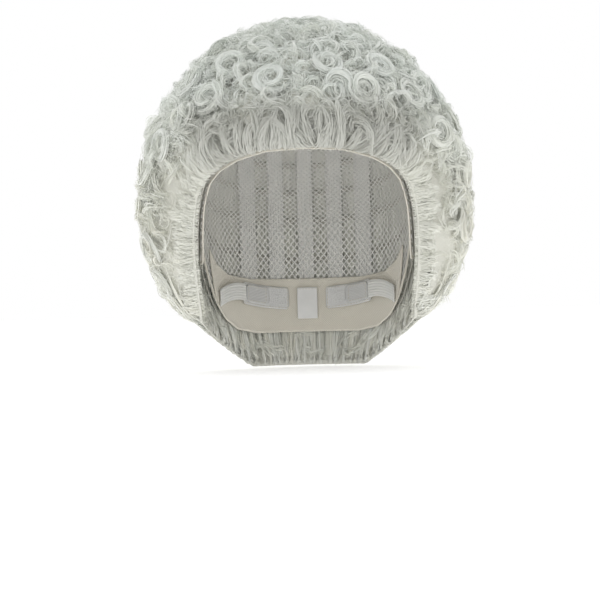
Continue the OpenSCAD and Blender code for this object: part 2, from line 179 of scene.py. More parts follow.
def head_normal(p):
    """The outward direction at a point by the head: the ellipsoid's gradient, made one long."""
    down = np.where(p[..., 2] >= 0, HEAD_UP, HEAD_DOWN)
    n = p / np.stack(np.broadcast_arrays(HEAD_A**2, HEAD_B**2, down**2), axis=-1)
    return unit(n)


def on_hair(e, s):
    """A point on the outside of the hair, an ellipsoid round the hair's own middle."""
    return np.stack(np.broadcast_arrays(
        HAIR_A * np.sin(s) * np.sin(e),
        HAIR_Y - HAIR_B * np.sin(s) * np.cos(e),
        HAIR_Z + np.where(s < math.pi / 2, HAIR_C, low_axis(e)) * np.cos(s),
    ), axis=-1)


def row_angle(e, w, angle):
    """An angle a share w of the way from crown to edge: near the crown rows are plain rounds."""
    front = angle(np.zeros(1), CAP_EDGE)
    back = angle(np.full(1, math.pi), CAP_EDGE)
    plain = front + (back - front) * (1 - np.cos(e)) / 2
    return w * (plain + (angle(e, CAP_EDGE) - plain) * w * w)


def full_angle(e, w, angle):
    """As row_angle up to the last row, which runs on past the cap to the edge of the hair."""
    past = np.clip((w - LAST_ROW) / (1 - LAST_ROW), 0, 1)
    inside = row_angle(e, np.minimum(w, LAST_ROW), angle)
    return inside + (angle(e, HAIR_EDGE) - inside) * past


def unit(v):
    """v, made one long."""
    return v / np.maximum(np.linalg.norm(v, axis=-1, keepdims=True), 1e-12)


def smooth(x, low, high):
    """0 below low, 1 above high, and an S curve between."""
    t = np.clip((x - low) / (high - low), 0, 1)
    return t * t * (3 - 2 * t)


def even_edge(start, end, step):
    """Azimuths and points along the hair's edge, an even step apart."""
    e = np.linspace(start, end, 20000)
    p = on_head(e, edge_polar(e, HAIR_EDGE), HAIR_IN)
    length = np.concatenate([[0], np.cumsum(np.linalg.norm(np.diff(p, axis=0), axis=1))])
    e = np.interp(np.arange(0, length[-1], step), length, e)
    return e, on_head(e, edge_polar(e, HAIR_EDGE), HAIR_IN)


class HairShape:
    """The inside and the outside of the hair, on a grid of azimuth and share of the way to the edge.

    The inside follows the cap, and stands off over the ears. The outside is the hair's ellipsoid, but
    near the edge it comes down to the inside in a quarter round. A place on it is given as (i, j),
    fractional steps of the grid, and gap is a place's distance from the edge.
    """

    def __init__(self, across=481, down=161, top=0.004):
        self.across, self.down, self.top = across, down, top
        e, w = np.meshgrid(np.linspace(0, 2 * math.pi, across), np.linspace(top, 1, down), indexing="ij")
        t = full_angle(e, w, edge_polar)
        side = (folded(e) - EAR_AT) / EAR_SPREAD
        low = (HEAD_DOWN * np.cos(t) + EAR_LOW) / EAR_REACH
        bump = np.where(t < math.pi / 2, 0, np.clip(1 - side**2, 0, 1) * np.clip(1 - low**2, 0, 1))
        self.inside = on_head(e, t, HAIR_IN + EAR_ROOM * bump)
        self.reach = on_hair(e, full_angle(e, w, outer_polar)) - self.inside
        self.edge = even_edge(0, 2 * math.pi, 0.3 * MM)[1]
        self.gap = np.stack([
            np.linalg.norm(column[:, None] - self.edge[None], axis=-1).min(axis=1)
            for column in self.inside
        ])

    def azimuth(self, i):
        """The azimuth of a place."""
        return i * 2 * math.pi / (self.across - 1)

    def share(self, j):
        """A place's share of the way from the crown to the edge."""
        return self.top + j * (1 - self.top) / (self.down - 1)

    def at(self, grid, i, j):
        """The value of a grid at (i, j), by weighting its four neighbours."""
        i = i % (self.across - 1)
        i0 = i.astype(int)
        j0 = np.clip(j.astype(int), 0, self.down - 2)
        u, v = i - i0, j - j0
        if grid.ndim == 3:
            u, v = u[..., None], v[..., None]
        low = grid[i0, j0] * (1 - u) + grid[i0 + 1, j0] * u
        high = grid[i0, j0 + 1] * (1 - u) + grid[i0 + 1, j0 + 1] * u
        return low * (1 - v) + high * v

    def fullness(self, i, j):
        """How full the hair is: a quarter round from the edge, wider over the forehead."""
        wide = EDGE_ROUND * (1 + FOREHEAD_ROUND * smooth(-folded(self.azimuth(i)), -70, -55))
        x = np.clip(self.at(self.gap, i, j) / wide, 0, 1)
        return np.maximum(0.1, np.sqrt(1 - (1 - x) ** 2))

    def outside(self, i, j, full=1.0):
        """The point at (i, j), a share of the way out from the inside."""
        part = (self.fullness(i, j) * full)[..., None]
        return self.at(self.inside, i, j) + self.at(self.reach, i, j) * part

    def surface(self, i, j):
        """The point at (i, j), its outward direction, the steps of the surface along i and along j, and
        how gap changes along both."""
        h = 0.4
        low, high = np.clip(j - h, 0, self.down - 1), np.clip(j + h, 0, self.down - 1)
        along_i = (self.outside(i + h, j) - self.outside(i - h, j)) / (2 * h)
        along_j = (self.outside(i, high) - self.outside(i, low)) / (high - low)[..., None]
        change = (
            (self.at(self.gap, i + h, j) - self.at(self.gap, i - h, j)) / (2 * h),
            (self.at(self.gap, i, high) - self.at(self.gap, i, low)) / (high - low),
        )
        return self.outside(i, j), unit(np.cross(along_j, along_i)), along_i, along_j, change

    def trace(self, i, j, heading, step):
        """Lines along the outside, and its outward direction on them.

        Each line starts at (i, j) and goes a step at a time straight away from the edge, turned by its
        heading (lines, steps), a positive one towards the left of its way.
        """
        lines, normals = [], []
        i, j = i.copy(), np.clip(j, 0, self.down - 1)
        for k in range(heading.shape[1]):
            p, n, pi, pj, (gi, gj) = self.surface(i, j)
            ee, ff, gg = (pi * pi).sum(-1), (pi * pj).sum(-1), (pj * pj).sum(-1)
            det = np.maximum(ee * gg - ff * ff, 1e-16)
            away = ((gg * gi - ff * gj) / det)[:, None] * pi
            away = unit(away + ((ee * gj - ff * gi) / det)[:, None] * pj)
            turn = heading[:, k][:, None]
            way = np.cos(turn) * away + np.sin(turn) * np.cross(n, away)
            a, b = (way * pi).sum(-1), (way * pj).sum(-1)
            i = i + np.clip((gg * a - ff * b) / det * step, -4, 4)
            j = np.clip(j + np.clip((ee * b - ff * a) / det * step, -16, 16), 0, self.down - 1)
            lines.append(p)
            normals.append(n)
        return np.stack(lines, axis=1), np.stack(normals, axis=1)

    def scatter(self, rng, count, spacing, keep):
        """Places on the outside, spread evenly by area, each at least a spacing from the others.

        keep is a function of azimuth, share and gap that says which places may be taken.
        """
        i, j = np.meshgrid(np.arange(self.across - 1.0), np.arange(self.down - 1.0), indexing="ij")
        _, _, pi, pj, _ = self.surface(i, j)
        total = np.cumsum(np.linalg.norm(np.cross(pi, pj), axis=-1).ravel())
        tries = 16 * count if spacing else 3 * count
        pick = np.searchsorted(total, rng.random(tries) * total[-1])
        i = pick // (self.down - 1) + rng.random(tries)
        j = pick % (self.down - 1) + rng.random(tries)
        facts = (self.azimuth(i), self.share(j), self.at(self.gap, i, j))
        allowed = keep(*facts)
        i, j = i[allowed], j[allowed]
        if not spacing:
            return i[:count], j[:count]
        centre = self.outside(i, j)
        chosen = np.full((count, 3), 9.0)
        order = []
        for k in range(len(i)):
            if len(order) == count:
                break
            if np.linalg.norm(chosen[:len(order)] - centre[k], axis=1).min(initial=1.0) > spacing:
                chosen[len(order)] = centre[k]
                order.append(k)
        return i[order], j[order]


# ------------------------------------------------------------------------------------ mesh helpers


def new_mesh(name, points, faces, uv=None, values=None, smooth_shade=True, layer="OFBake"):
    """An object from arrays: points (n, 3), faces (m, 3 or 4), uv (n, 2) and named point values."""
    mesh = bpy.data.meshes.new(name)
    corners = faces.shape[1]
    mesh.vertices.add(len(points))
    mesh.vertices.foreach_set("co", np.ascontiguousarray(points, np.float32).ravel())
    mesh.loops.add(faces.size)
    mesh.loops.foreach_set("vertex_index", np.ascontiguousarray(faces, np.int32).ravel())
    mesh.polygons.add(len(faces))
    mesh.polygons.foreach_set("loop_start", np.arange(0, faces.size, corners, dtype=np.int32))
    mesh.polygons.foreach_set("use_smooth", np.full(len(faces), smooth_shade))
    mesh.update(calc_edges=True)
    if uv is not None:
        corner_uv = np.ascontiguousarray(uv[faces.ravel()], np.float32)
        mesh.uv_layers.new(name=layer).data.foreach_set("uv", corner_uv.ravel())
    for key, value in (values or {}).items():
        attribute = mesh.attributes.new(key, "FLOAT", "POINT")
        attribute.data.foreach_set("value", np.ascontiguousarray(value, np.float32).ravel())
    mesh.validate()
    thing = bpy.data.objects.new(name, mesh)
    bpy.context.scene.collection.objects.link(thing)
    return thing


def grid_faces(rows, columns, wrap=False):
    """Four-cornered faces of a grid of points; wrap joins the last row to the first."""
    steps = rows if wrap else rows - 1
    i, j = np.meshgrid(np.arange(steps), np.arange(columns - 1), indexing="ij")
    after = (i + 1) % rows
    return np.stack(
        [i * columns + j, after * columns + j, after * columns + j + 1, i * columns + j + 1], axis=-1
    ).reshape(-1, 4)


def place(thing, material, replaced=(), body="root"):
    """Gives a piece its material, the body it rides on and the nodes that it stands for."""
    thing.data.materials.append(material)
    if body:
        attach(thing, body)
    if replaced:
        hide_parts(*replaced)
    return thing


def weld(mesh):
    """Joins points of a mesh that lie at the same place."""
    made = bmesh.new()
    made.from_mesh(mesh)
    bmesh.ops.remove_doubles(made, verts=made.verts, dist=2e-6)
    bmesh.ops.recalc_face_normals(made, faces=made.faces)
    made.to_mesh(mesh)
    made.free()


def lengths(grid, axis):
    """The mean distance along a grid of points, in one direction, from its first row or column."""
    step = np.linalg.norm(np.diff(grid, axis=axis), axis=-1).mean(axis=1 - axis)
    return np.concatenate([[0], np.cumsum(step)])


def slab(name, outer, inner, cloth=None):
    """A closed thin piece between two grids of points (rows, columns), with a "cloth" map in metres.

    The first row may lie on the last and a row or column may shrink to a point: they are welded.
    """
    rows, columns = outer.shape[:2]
    points = np.concatenate([outer.reshape(-1, 3), inner.reshape(-1, 3)])
    skin = grid_faces(rows, columns)
    low = rows * columns
    i, j = np.arange(rows - 1), np.arange(columns - 1)
    rims = []
    for a, b in (
        (i * columns, (i + 1) * columns),
        ((i + 1) * columns + columns - 1, i * columns + columns - 1),
        (j + 1, j), ((rows - 1) * columns + j, (rows - 1) * columns + j + 1),
    ):
        rims.append(np.stack([a, b, low + b, low + a], axis=-1))
    faces = np.concatenate([skin, skin[:, ::-1] + low] + rims)
    if cloth is None:
        cloth = np.stack(np.meshgrid(lengths(outer, 0), lengths(outer, 1), indexing="ij"), axis=-1)
    uv = np.tile(cloth.reshape(-1, 2), (2, 1))
    piece = new_mesh(name, points, faces, uv, layer="cloth")
    weld(piece.data)
    return piece


def stitches(name, places, ways, outs, length, radius):
    """A row of stitches: a five-sided bead at each place, along its way and pressed flat outwards."""
    ways, outs = unit(ways), unit(outs)
    sides = unit(np.cross(ways, outs))
    turn = np.linspace(0, 2 * math.pi, 5, endpoint=False)
    along = np.array([-0.5, -0.36, 0.36, 0.5])
    girth = np.array([0.35, 1.0, 1.0, 0.35])
    ring = (np.cos(turn)[:, None] * sides[:, None] + 0.7 * np.sin(turn)[:, None] * outs[:, None]) * radius
    points = (
        places[:, None, None] + (along[:, None] * length)[None, :, None] * ways[:, None, None]
        + ring[:, None] * girth[None, :, None, None]
    )
    k, j = np.meshgrid(np.arange(3), np.arange(5), indexing="ij")
    after = (j + 1) % 5
    side = np.stack([k * 5 + j, k * 5 + after, (k + 1) * 5 + after, (k + 1) * 5 + j], axis=-1)
    side = side.reshape(-1, 4)
    one = np.concatenate([side[:, [0, 1, 2]], side[:, [0, 2, 3]],
                          [[0, 2, 1], [0, 3, 2], [0, 4, 3], [15, 16, 17], [15, 17, 18], [15, 18, 19]]])
    faces = (one[None] + (np.arange(len(places)) * 20)[:, None, None]).reshape(-1, 3)
    return new_mesh(name, points.reshape(-1, 3), faces)


def seam(name, line, outs, spacing=3.4 * MM, length=2.5 * MM, radius=0.28 * MM):
    """Stitches evenly along a line of points."""
    far = np.concatenate([[0], np.cumsum(np.linalg.norm(np.diff(line, axis=0), axis=1))])
    at = np.arange(spacing / 2, far[-1], spacing)
    pick = [np.stack([np.interp(at, far, values[:, k]) for k in range(3)], axis=-1)
            for values in (line, np.gradient(line, axis=0), outs)]
    return stitches(name, *pick, length, radius)


# ------------------------------------------------------------------------------------ shader maths


def maths(kind):
    """A method that makes a Math node of a kind, on a socket and others."""
    def method(self, *others):
        return self.nodes.make("ShaderNodeMath", {"operation": kind}, dict(enumerate((self, *others))))
    return method


class Socket:
    """A shader socket or a number, with the arithmetic that builds Math nodes."""

    __add__ = __radd__ = maths("ADD")
    __mul__ = __rmul__ = maths("MULTIPLY")
    __sub__ = maths("SUBTRACT")
    power = maths("POWER")
    sine = maths("SINE")
    least = maths("MINIMUM")

    def __init__(self, nodes, value):
        self.nodes = nodes
        self.value = value

    def __rsub__(self, other):
        return Socket(self.nodes, other) - self

    def clamp(self):
        """The value, kept from 0 to 1."""
        return self.nodes.make("ShaderNodeClamp", {}, {0: self})

    def ramp(self, low, high):
        """0 below low, 1 above high, on an S curve between."""
        return self.nodes.make(
            "ShaderNodeMapRange",
            {"interpolation_type": "SMOOTHSTEP"},
            {"Value": self, "From Min": low, "From Max": high},
        )

    def wave(self, length):
        """From 0 to 1 and back in each length: half a sine and a half."""
        return (self * (2 * math.pi / length)).sine() * 0.5 + 0.5

    def hump(self, length):
        """0 at every length and 1 half way between: the square of a sine."""
        return (self * (math.pi / length)).sine().power(2.0)


class Shader:
    """A node tree of a material or the world, with one method that makes any node."""

    def __init__(self, owner):
        self.owner = owner
        owner.use_nodes = True
        self.tree = owner.node_tree
        self.tree.nodes.clear()

    def make(self, kind, settings=None, sockets=None, output=0):
        """A node of a type, its settings set first and then its sockets, by name or number."""
        node = self.tree.nodes.new(kind)
        for key, value in (settings or {}).items():
            setattr(node, key, value)
        for key, value in (sockets or {}).items():
            if isinstance(value, Socket):
                value = value.value
            if isinstance(value, bpy.types.NodeSocket):
                self.tree.links.new(value, node.inputs[key])
            else:
                node.inputs[key].default_value = value
        return Socket(self, node.outputs[output]) if len(node.outputs) else None

    def attribute(self, name):
        """A number that the mesh holds at each point."""
        return self.make("ShaderNodeAttribute", {"attribute_name": name}, output=2)

    def position(self, axis=None):
        """Object coordinates, or one of them."""
        where = self.make("ShaderNodeTexCoord", output=3)
        if axis is None:
            return where
        return self.make("ShaderNodeSeparateXYZ", {}, {0: where}, output=axis)

    def cloth(self):
        """Both directions of the piece's own cloth map, in metres."""
        where = self.make("ShaderNodeUVMap", {"uv_map": "cloth"})
        return [self.make("ShaderNodeSeparateXYZ", {}, {0: where}, output=axis) for axis in (0, 1)]

    def noise(self, scale, detail=2.0, rough=0.5, warp=0.0):
        """Noise from 0 to 1 on Object coordinates."""
        return self.make(
            "ShaderNodeTexNoise", {},
            {"Vector": self.position(), "Scale": scale, "Detail": detail, "Roughness": rough,
             "Distortion": warp},
        )

    def mix(self, share, low, high):
        """A colour between two."""
        return self.make("ShaderNodeMix", {"data_type": "RGBA"}, {0: share, 6: low, 7: high}, 2)

    def tint(self, share, colour, low, high):
        """A colour between two shares of one."""
        return self.mix(share, tone(colour, low), tone(colour, high))

    def bump(self, height, strength, distance):
        """A normal from a height."""
        return self.make(
            "ShaderNodeBump", {}, {"Height": height, "Strength": strength, "Distance": distance}
        )

    def finish(self, **sockets):
        """The principled shader and the output."""
        names = {key.replace("_", " "): value for key, value in sockets.items()}
        shader = self.make("ShaderNodeBsdfPrincipled", {}, names)
        self.make("ShaderNodeOutputMaterial", {}, {"Surface": shader})
        return self.owner


def new_material(name):
    """The node tree of a new material."""
    return Shader(bpy.data.materials.new(name))


def tone(colour, share=1.0):
    """A colour property as four numbers, made lighter or darker by a share."""
    return tuple(min(1.0, c * share) for c in colour[:3]) + (1.0,)


def hair_material(colours):
    """White hair: cool painted light on the crown and creamy painted shade below, darker and olive
    painted shade deep at the roots and on the low front locks, each strand a little different, with a soft
    sheen."""
    s = new_material("white_hair")
    strand, height, along = s.attribute("strand"), s.attribute("height"), s.attribute("along")
    clump = s.attribute("clump")
    # Painted light: the crown, lit from above, takes the cool tint and the lower hair the creamy painted
    # shade; noise and each lock's tone vary it at random.
    cool = s.position(2).ramp(-0.02, 0.11)
    patch = s.noise(38.0, detail=1.0)
    shade = (cool * 0.6 + patch * 0.35 + clump * 0.4 - 0.2).clamp()
    outer = s.mix(shade, tone(colours.hair_warm), tone(colours.hair_lit_crown))
    pale = s.mix(strand.power(2.0) * 0.6 + clump.power(3.0) * 0.4, outer, tone(colours.hair_tip))
    # Painted shade: strands deep under the outside of the hair take the darker olive shade colour.
    light = s.mix(height.ramp(0.1, 0.75), tone(colours.hair_painted_shade), pale)
    streak = (strand * 37.0 + along * 3.0).sine() * 0.5 + 0.5
    # Painted shadow: the low locks over the forehead, under the curls above them, are darkened towards the
    # olive shade.
    front = 1 - s.position(1).ramp(-0.085, -0.055)
    low = 1 - s.position(2).ramp(0.062, 0.088)
    shaded = s.mix(front * low * 0.85, light, tone(colours.hair_painted_shade, 0.68))
    final = s.mix(streak * 0.1, shaded, tone(colours.hair_warm, 0.84))
    return s.finish(
        Base_Color=final, Roughness=0.42, Specular_IOR_Level=0.45, Sheen_Weight=0.35,
        Sheen_Roughness=0.4, Sheen_Tint=(1.0, 1.0, 1.0, 1.0),
    )


def under_hair_material(colours):
    """The mass of hair under the curls: painted shade, the olive colour of the gaps between curls, with
    fine lines that run every way.
    """
    s = new_material("under_hair")
    patch = s.noise(60.0, detail=3.0)
    lines = s.noise(420.0, detail=4.0, warp=3.0)
    shade = (lines * 0.8 + patch * 0.5 - 0.2).clamp()
    # Painted shade: the colour runs from a dimmed painted shade colour to the creamy side colour.
    colour = s.mix(shade, tone(colours.hair_painted_shade, 0.86), tone(colours.hair_warm, 0.95))
    return s.finish(
        Base_Color=colour, Roughness=0.7, Normal=s.bump(lines, 0.6, 0.0015), Sheen_Weight=0.2
    )


def lining_material(colours):
    """Ivory lining: a plain weave, two families of threads that go over and under each other, a
    little worn."""
    s = new_material("band_lining")
    u, v = s.cloth()
    threads = math.pi * 1100.0
    height = (u * threads).sine() * (v * threads).sine() * 0.5 + 0.5
    worn = s.noise(55.0, detail=4.0)
    tint = s.tint((height * 0.6 + worn * 0.5 - 0.1).clamp(), colours.lining, 0.86, 1.06)
    return s.finish(Base_Color=tint, Roughness=0.8, Sheen_Weight=0.3, Specular_IOR_Level=0.25,
                    Normal=s.bump(height + worn * 0.4, 0.5, 0.0006))


def elastic_material(colours):
    """Ribbed elastic: cords along it, thin ribs across it and a firm edge."""
    s = new_material("ribbed_elastic")
    u, v = s.cloth()
    worn = s.noise(70.0, detail=3.0)
    height = u.wave(0.0011) * 0.5 + v.wave(0.0021) * 0.6
    tint = s.tint((height * 0.5 + worn * 0.5).clamp(), colours.elastic, 0.80, 1.05)
    return s.finish(Base_Color=tint, Roughness=0.62, Sheen_Weight=0.2, Specular_IOR_Level=0.3,
                    Normal=s.bump(height, 0.7, 0.0006))


def net_material(colours, pitch, thread):
    """Knitted net: threads along two slanting families of lines, and nothing between them."""
    s = new_material("stretch_net")
    u, v = s.cloth()
    nearest = (u + v).hump(pitch).least((u - v).hump(pitch))
    alpha = 1 - nearest.ramp(thread, thread * 2)
    tint = s.tint(s.noise(80.0), colours.net, 0.85, 1.05)
    return s.finish(Base_Color=tint, Roughness=0.75, Alpha=alpha, Specular_IOR_Level=0.25,
                    Normal=s.bump(nearest, -0.6, 0.0005))


def weft_material(colours):
    """A sewn weft's heading: slanting overlock loops along it, over the roots of the hair."""
    s = new_material("weft_heading")
    u, v = s.cloth()
    loop, rows = (u + v * 0.6).wave(0.0019), v.wave(0.0012)
    tint = s.tint((loop * 0.6 + rows * 0.4).clamp(), colours.weft, 0.72, 1.08)
    return s.finish(Base_Color=tint, Roughness=0.7, Specular_IOR_Level=0.3,
                    Normal=s.bump(loop + rows * 0.5, 0.9, 0.0008))


def loop_material(colours):
    """Loop tape: a pile of fine tangled loops."""
    s = new_material("loop_tape")
    pile = s.noise(900.0, detail=4.0, rough=0.7)
    tint = s.tint((pile * 0.8 + s.noise(90.0) * 0.4 - 0.1).clamp(), colours.tape, 0.76, 1.06)
    return s.finish(Base_Color=tint, Roughness=0.9, Sheen_Weight=0.5, Specular_IOR_Level=0.2,
                    Normal=s.bump(pile, 1.0, 0.0011))


def hook_material(colours):
    """Hook tape: rows of small shiny hooks on a firm ground."""
    s = new_material("hook_tape")
    u, v = s.cloth()
    hook = (u.hump(0.0009) * v.hump(0.0011)).ramp(0.3, 0.7)
    tint = s.tint(hook, colours.tape, 0.78, 1.06)
    return s.finish(Base_Color=tint, Roughness=0.6 - hook * 0.25, Specular_IOR_Level=0.5,
                    Normal=s.bump(hook, 0.9, 0.0009))


def satin_material(colours):
    """Blank satin: fine lustrous threads along the label."""
    s = new_material("label_satin")
    thread = s.cloth()[0].wave(0.0005)
    # Painted sheen: this noise lightens the colour in patches, and also raises the roughness.
    sheen = s.noise(160.0)
    tint = s.tint((thread * 0.4 + sheen * 0.5).clamp(), colours.satin, 0.86, 1.03)
    return s.finish(Base_Color=tint, Roughness=0.38 + sheen * 0.12, Specular_IOR_Level=0.5,
                    Normal=s.bump(thread, 0.3, 0.0003), Sheen_Weight=0.3)


def thread_material(colours):
    """Sewing thread: two plies wound round each other."""
    s = new_material("sewing_thread")
    ply = s.noise(1500.0)
    return s.finish(Base_Color=s.tint(ply, colours.lining, 0.72, 0.98), Roughness=0.55,
                    Normal=s.bump(ply, 0.5, 0.0003))


# ------------------------------------------------------------------------------------- the strands


def spread(rng, low, high, *shape):
    """Random numbers between low and high."""
    return low + (high - low) * rng.random(shape)


def flat_strands(name, paths, outward, width, values, tilt):
    """Flat strands along paths.

    paths and outward are (strands, steps, 3): the middle line, and which way its flat side faces.
    The width is taken across both the line and the outward direction, turned by tilt about the line,
    and narrows to a point at the tip. Every strand has a small field of its own in the map.
    """
    count, steps = paths.shape[:2]
    along = unit(np.gradient(paths, axis=1))
    across = unit(np.cross(along, outward))
    turned = np.cos(tilt)[:, None, None] * across + np.sin(tilt)[:, None, None] * np.cross(along, across)
    u = np.linspace(0, 1, steps)
    taper = np.clip(np.minimum(u / 0.04 + 0.5, (1 - u) / 0.12 + 0.25), 0, 1)
    half = turned * (width[:, None] * taper[None] / 2)[..., None]
    points = np.stack([paths - half, paths + half], axis=2).reshape(-1, 3)
    start = (np.arange(count) * steps * 2)[:, None] + (np.arange(steps - 1) * 2)[None]
    faces = np.stack([start, start + 1, start + 3, start + 2], axis=-1).reshape(-1, 4)
    columns = int(math.ceil(math.sqrt(count)))
    rows = int(math.ceil(count / columns))
    cell = np.arange(count)
    place_v = (cell // columns + 0.08)[:, None] / rows + 0.84 * u[None] / rows
    uv = np.stack([
        np.stack(np.broadcast_arrays(((cell % columns + side) / columns)[:, None], place_v), axis=-1)
        for side in (0.1, 0.9)
    ], axis=2).reshape(-1, 2)
    point_values = {
        key: np.repeat(np.broadcast_to(value, (count, steps)).reshape(-1), 2)
        for key, value in {**values, "along": u[None]}.items()
    }
    return new_mesh(name, points, faces, uv, point_values)


def lock(rng, line, normal, half_width, thick, strands, steps, ragged=0.15, wander=0.35 * MM, arch=0.5):
    """The strands of locks that follow centre lines, as (strands, steps, 3) paths and outward ways.

    line and normal are (locks, points, 3), and half_width and thick are (locks, points). A strand has
    a fixed place across and through its lock; it wanders a little from it, starts and ends raggedly,
    and lies lower towards the sides by arch times the half width, so that the lock is rounded.
    """
    n, points = line.shape[:2]
    side = unit(np.cross(normal, np.gradient(line, axis=1)))
    across = spread(rng, -1, 1, n, strands, 1)
    through = spread(rng, -1, 1, n, strands, 1)
    start = spread(rng, 0, ragged, n, strands, 1)
    end = spread(rng, 1 - 1.6 * ragged, 1, n, strands, 1)
    s = start + (end - start) * np.linspace(0, 1, steps)
    place_at = s * (points - 1)
    k = np.clip(place_at.astype(int), 0, points - 2)
    share = place_at - k
    which = np.arange(n)[:, None, None]

    def pick(values):
        part = share[..., None] if values.ndim == 3 else share
        return values[which, k] * (1 - part) + values[which, k + 1] * part

    p, m, b = pick(line), pick(normal), pick(side)
    wide, deep = pick(half_width), pick(thick)
    phase = spread(rng, 0, 6.3, n, strands, 1)
    wave = np.sin(s * spread(rng, 7, 17, n, strands, 1) + phase) * wander
    x = across * wide + wave
    h = through * deep - arch * across**2 * wide + np.cos(s * 9 + phase) * wander * 0.7
    paths = p + b * x[..., None] + m * h[..., None]
    outward = m + b * (0.9 * across)[..., None]
    shape = (n * strands, steps, 3)
    return paths.reshape(shape), np.broadcast_to(outward, paths.shape).reshape(shape)


def ring_lines(rng, centre, normal, radius, turns, rise, coil_in, points=26):
    """Centre lines of curls: spirals in the plane across normal, with the plane's outward direction.

    The radius starts half as large again, comes to its value within a fifth of the way and is a share
    coil_in smaller at the end; the line comes up from rise below in the first half.
    """
    n = len(centre)
    first = unit(np.cross(normal, unit(rng.normal(size=(n, 3)))))
    second = np.cross(normal, first)
    s = np.linspace(0, 1, points)[None]
    hand = np.where(rng.random(n) < 0.5, -1.0, 1.0)[:, None]
    r = radius[:, None] * (1 + 0.5 * np.clip(0.2 - s, 0, 1) / 0.2 - coil_in[:, None] * s**1.5)
    turn = hand * 2 * math.pi * turns[:, None] * s
    h = -rise[:, None] * np.clip(1 - s / 0.5, 0, 1) ** 1.6 + spread(rng, -0.5, 2.0, n, 1) * MM * s
    line = (
        centre[:, None] + (r * np.cos(turn))[..., None] * first[:, None]
        + (r * np.sin(turn))[..., None] * second[:, None] + h[..., None] * normal[:, None]
    )
    return line, np.broadcast_to(normal[:, None], line.shape)


def curl_strands(rng, centre, facing, radius, band, turns, rise, coil_in, strands, steps, loose=0.5):
    """The strands of curls, which wander by so many millimetres."""
    line, normal = ring_lines(rng, centre, facing, radius, turns, rise, coil_in)
    s = np.linspace(0, 1, line.shape[1])[None]
    half_width = band[:, None] * (0.55 + 0.45 * np.sin(math.pi * np.clip(s * 1.15, 0, 1)))
    thick = np.full(half_width.shape, 2 * loose * MM)
    return lock(rng, line, normal, half_width, thick, strands, steps, wander=loose * MM)


class Batch:
    """Strands gathered for the hair pieces, by the name of the node that each stands for."""

    def __init__(self):
        self.parts = {}

    def add(self, rng, names, strands, paths, outward, width):
        """Adds locks of so many strands each, with a tone for each lock and each strand.

        A strand's height is found from how far under the outside of the hair it lies; the hair material
        paints shade on it by this height.
        """
        names = np.repeat(names, strands)
        paths = keep_clear(paths, HAIR_IN - 2 * MM)
        middle = np.array([0, HAIR_Y, HAIR_Z])
        full = np.linalg.norm((paths - middle) / np.array([HAIR_A, HAIR_B, HAIR_C]), axis=-1)
        height = np.clip(1 - (1 - full) * MEAN_AXIS / SHADE_DEPTH, 0, 1)
        width = width * spread(rng, 0.7, 1.3, len(paths))
        clump = np.repeat(rng.random(len(paths) // strands), strands)
        for name in np.unique(names):
            mine = names == name
            self.parts.setdefault(name, []).append(
                (paths[mine], outward[mine], width[mine], height[mine], clump[mine]))

    def build(self, rng, name, parts, suffix):
        """One piece from the strands of one node that have the same number of steps."""
        paths, outward, width, height, clump = (np.concatenate([p[k] for p in parts]) for k in range(5))
        values = {"strand": rng.random((len(paths), 1)), "clump": clump[:, None], "height": height}
        piece = flat_strands(name + suffix, paths, outward, width, values,
                             spread(rng, -0.6, 0.6, len(paths)))
        place(piece, material("hair", hair_material), [name])

    def finish(self, rng):
        """Builds the pieces, one for each node and number of steps."""
        for name, parts in self.parts.items():
            for steps in sorted({p[0].shape[1] for p in parts}):
                same = [p for p in parts if p[0].shape[1] == steps]
                self.build(rng, name, same, f"_strands_{steps}")


def keep_clear(paths, shape_in):
    """Pushes strands out of the space inside the cap: no point nearer the head than shape_in."""
    up = np.where(paths[..., 2] >= 0, HEAD_UP, HEAD_DOWN) + shape_in
    axes = np.stack(np.broadcast_arrays(HEAD_A + shape_in, HEAD_B + shape_in, up), axis=-1)
    level = np.linalg.norm(paths / axes, axis=-1, keepdims=True)
    return np.where(level < 1, paths / np.maximum(level, 0.2), paths)


# --------------------------------------------------------------------------- sizes and colours


class WigSizes(bpy.types.PropertyGroup):
    """Sizes of the hair that a user would change."""

    ring_count: bpy.props.IntProperty(
        name="Ring curls", description="How many large ring curls lie on the outside", default=120,
        min=0, max=400)
    curl_count: bpy.props.IntProperty(
        name="Small curls", description="How many small curls lie between them", default=1500, min=0,
        max=3000)
    under_count: bpy.props.IntProperty(
        name="Curls beneath", description="How many curls fill in underneath", default=800, min=0,
        max=1500)
    frizz_count: bpy.props.IntProperty(
        name="Frizz", description="How many single hairs stand loose", default=18000, min=0, max=20000)
    ring_radius: bpy.props.FloatProperty(
        name="Ring radius", description="Radius of a large curl", default=0.0098, unit="LENGTH")
    strand_width: bpy.props.FloatProperty(
        name="Strand width", description="Width of one strand", default=0.00038, unit="LENGTH")


def colour_property(name, description, *default):
    """A colour property."""
    return bpy.props.FloatVectorProperty(
        name=name, description=description, subtype="COLOR", size=3, min=0, max=1, default=default)


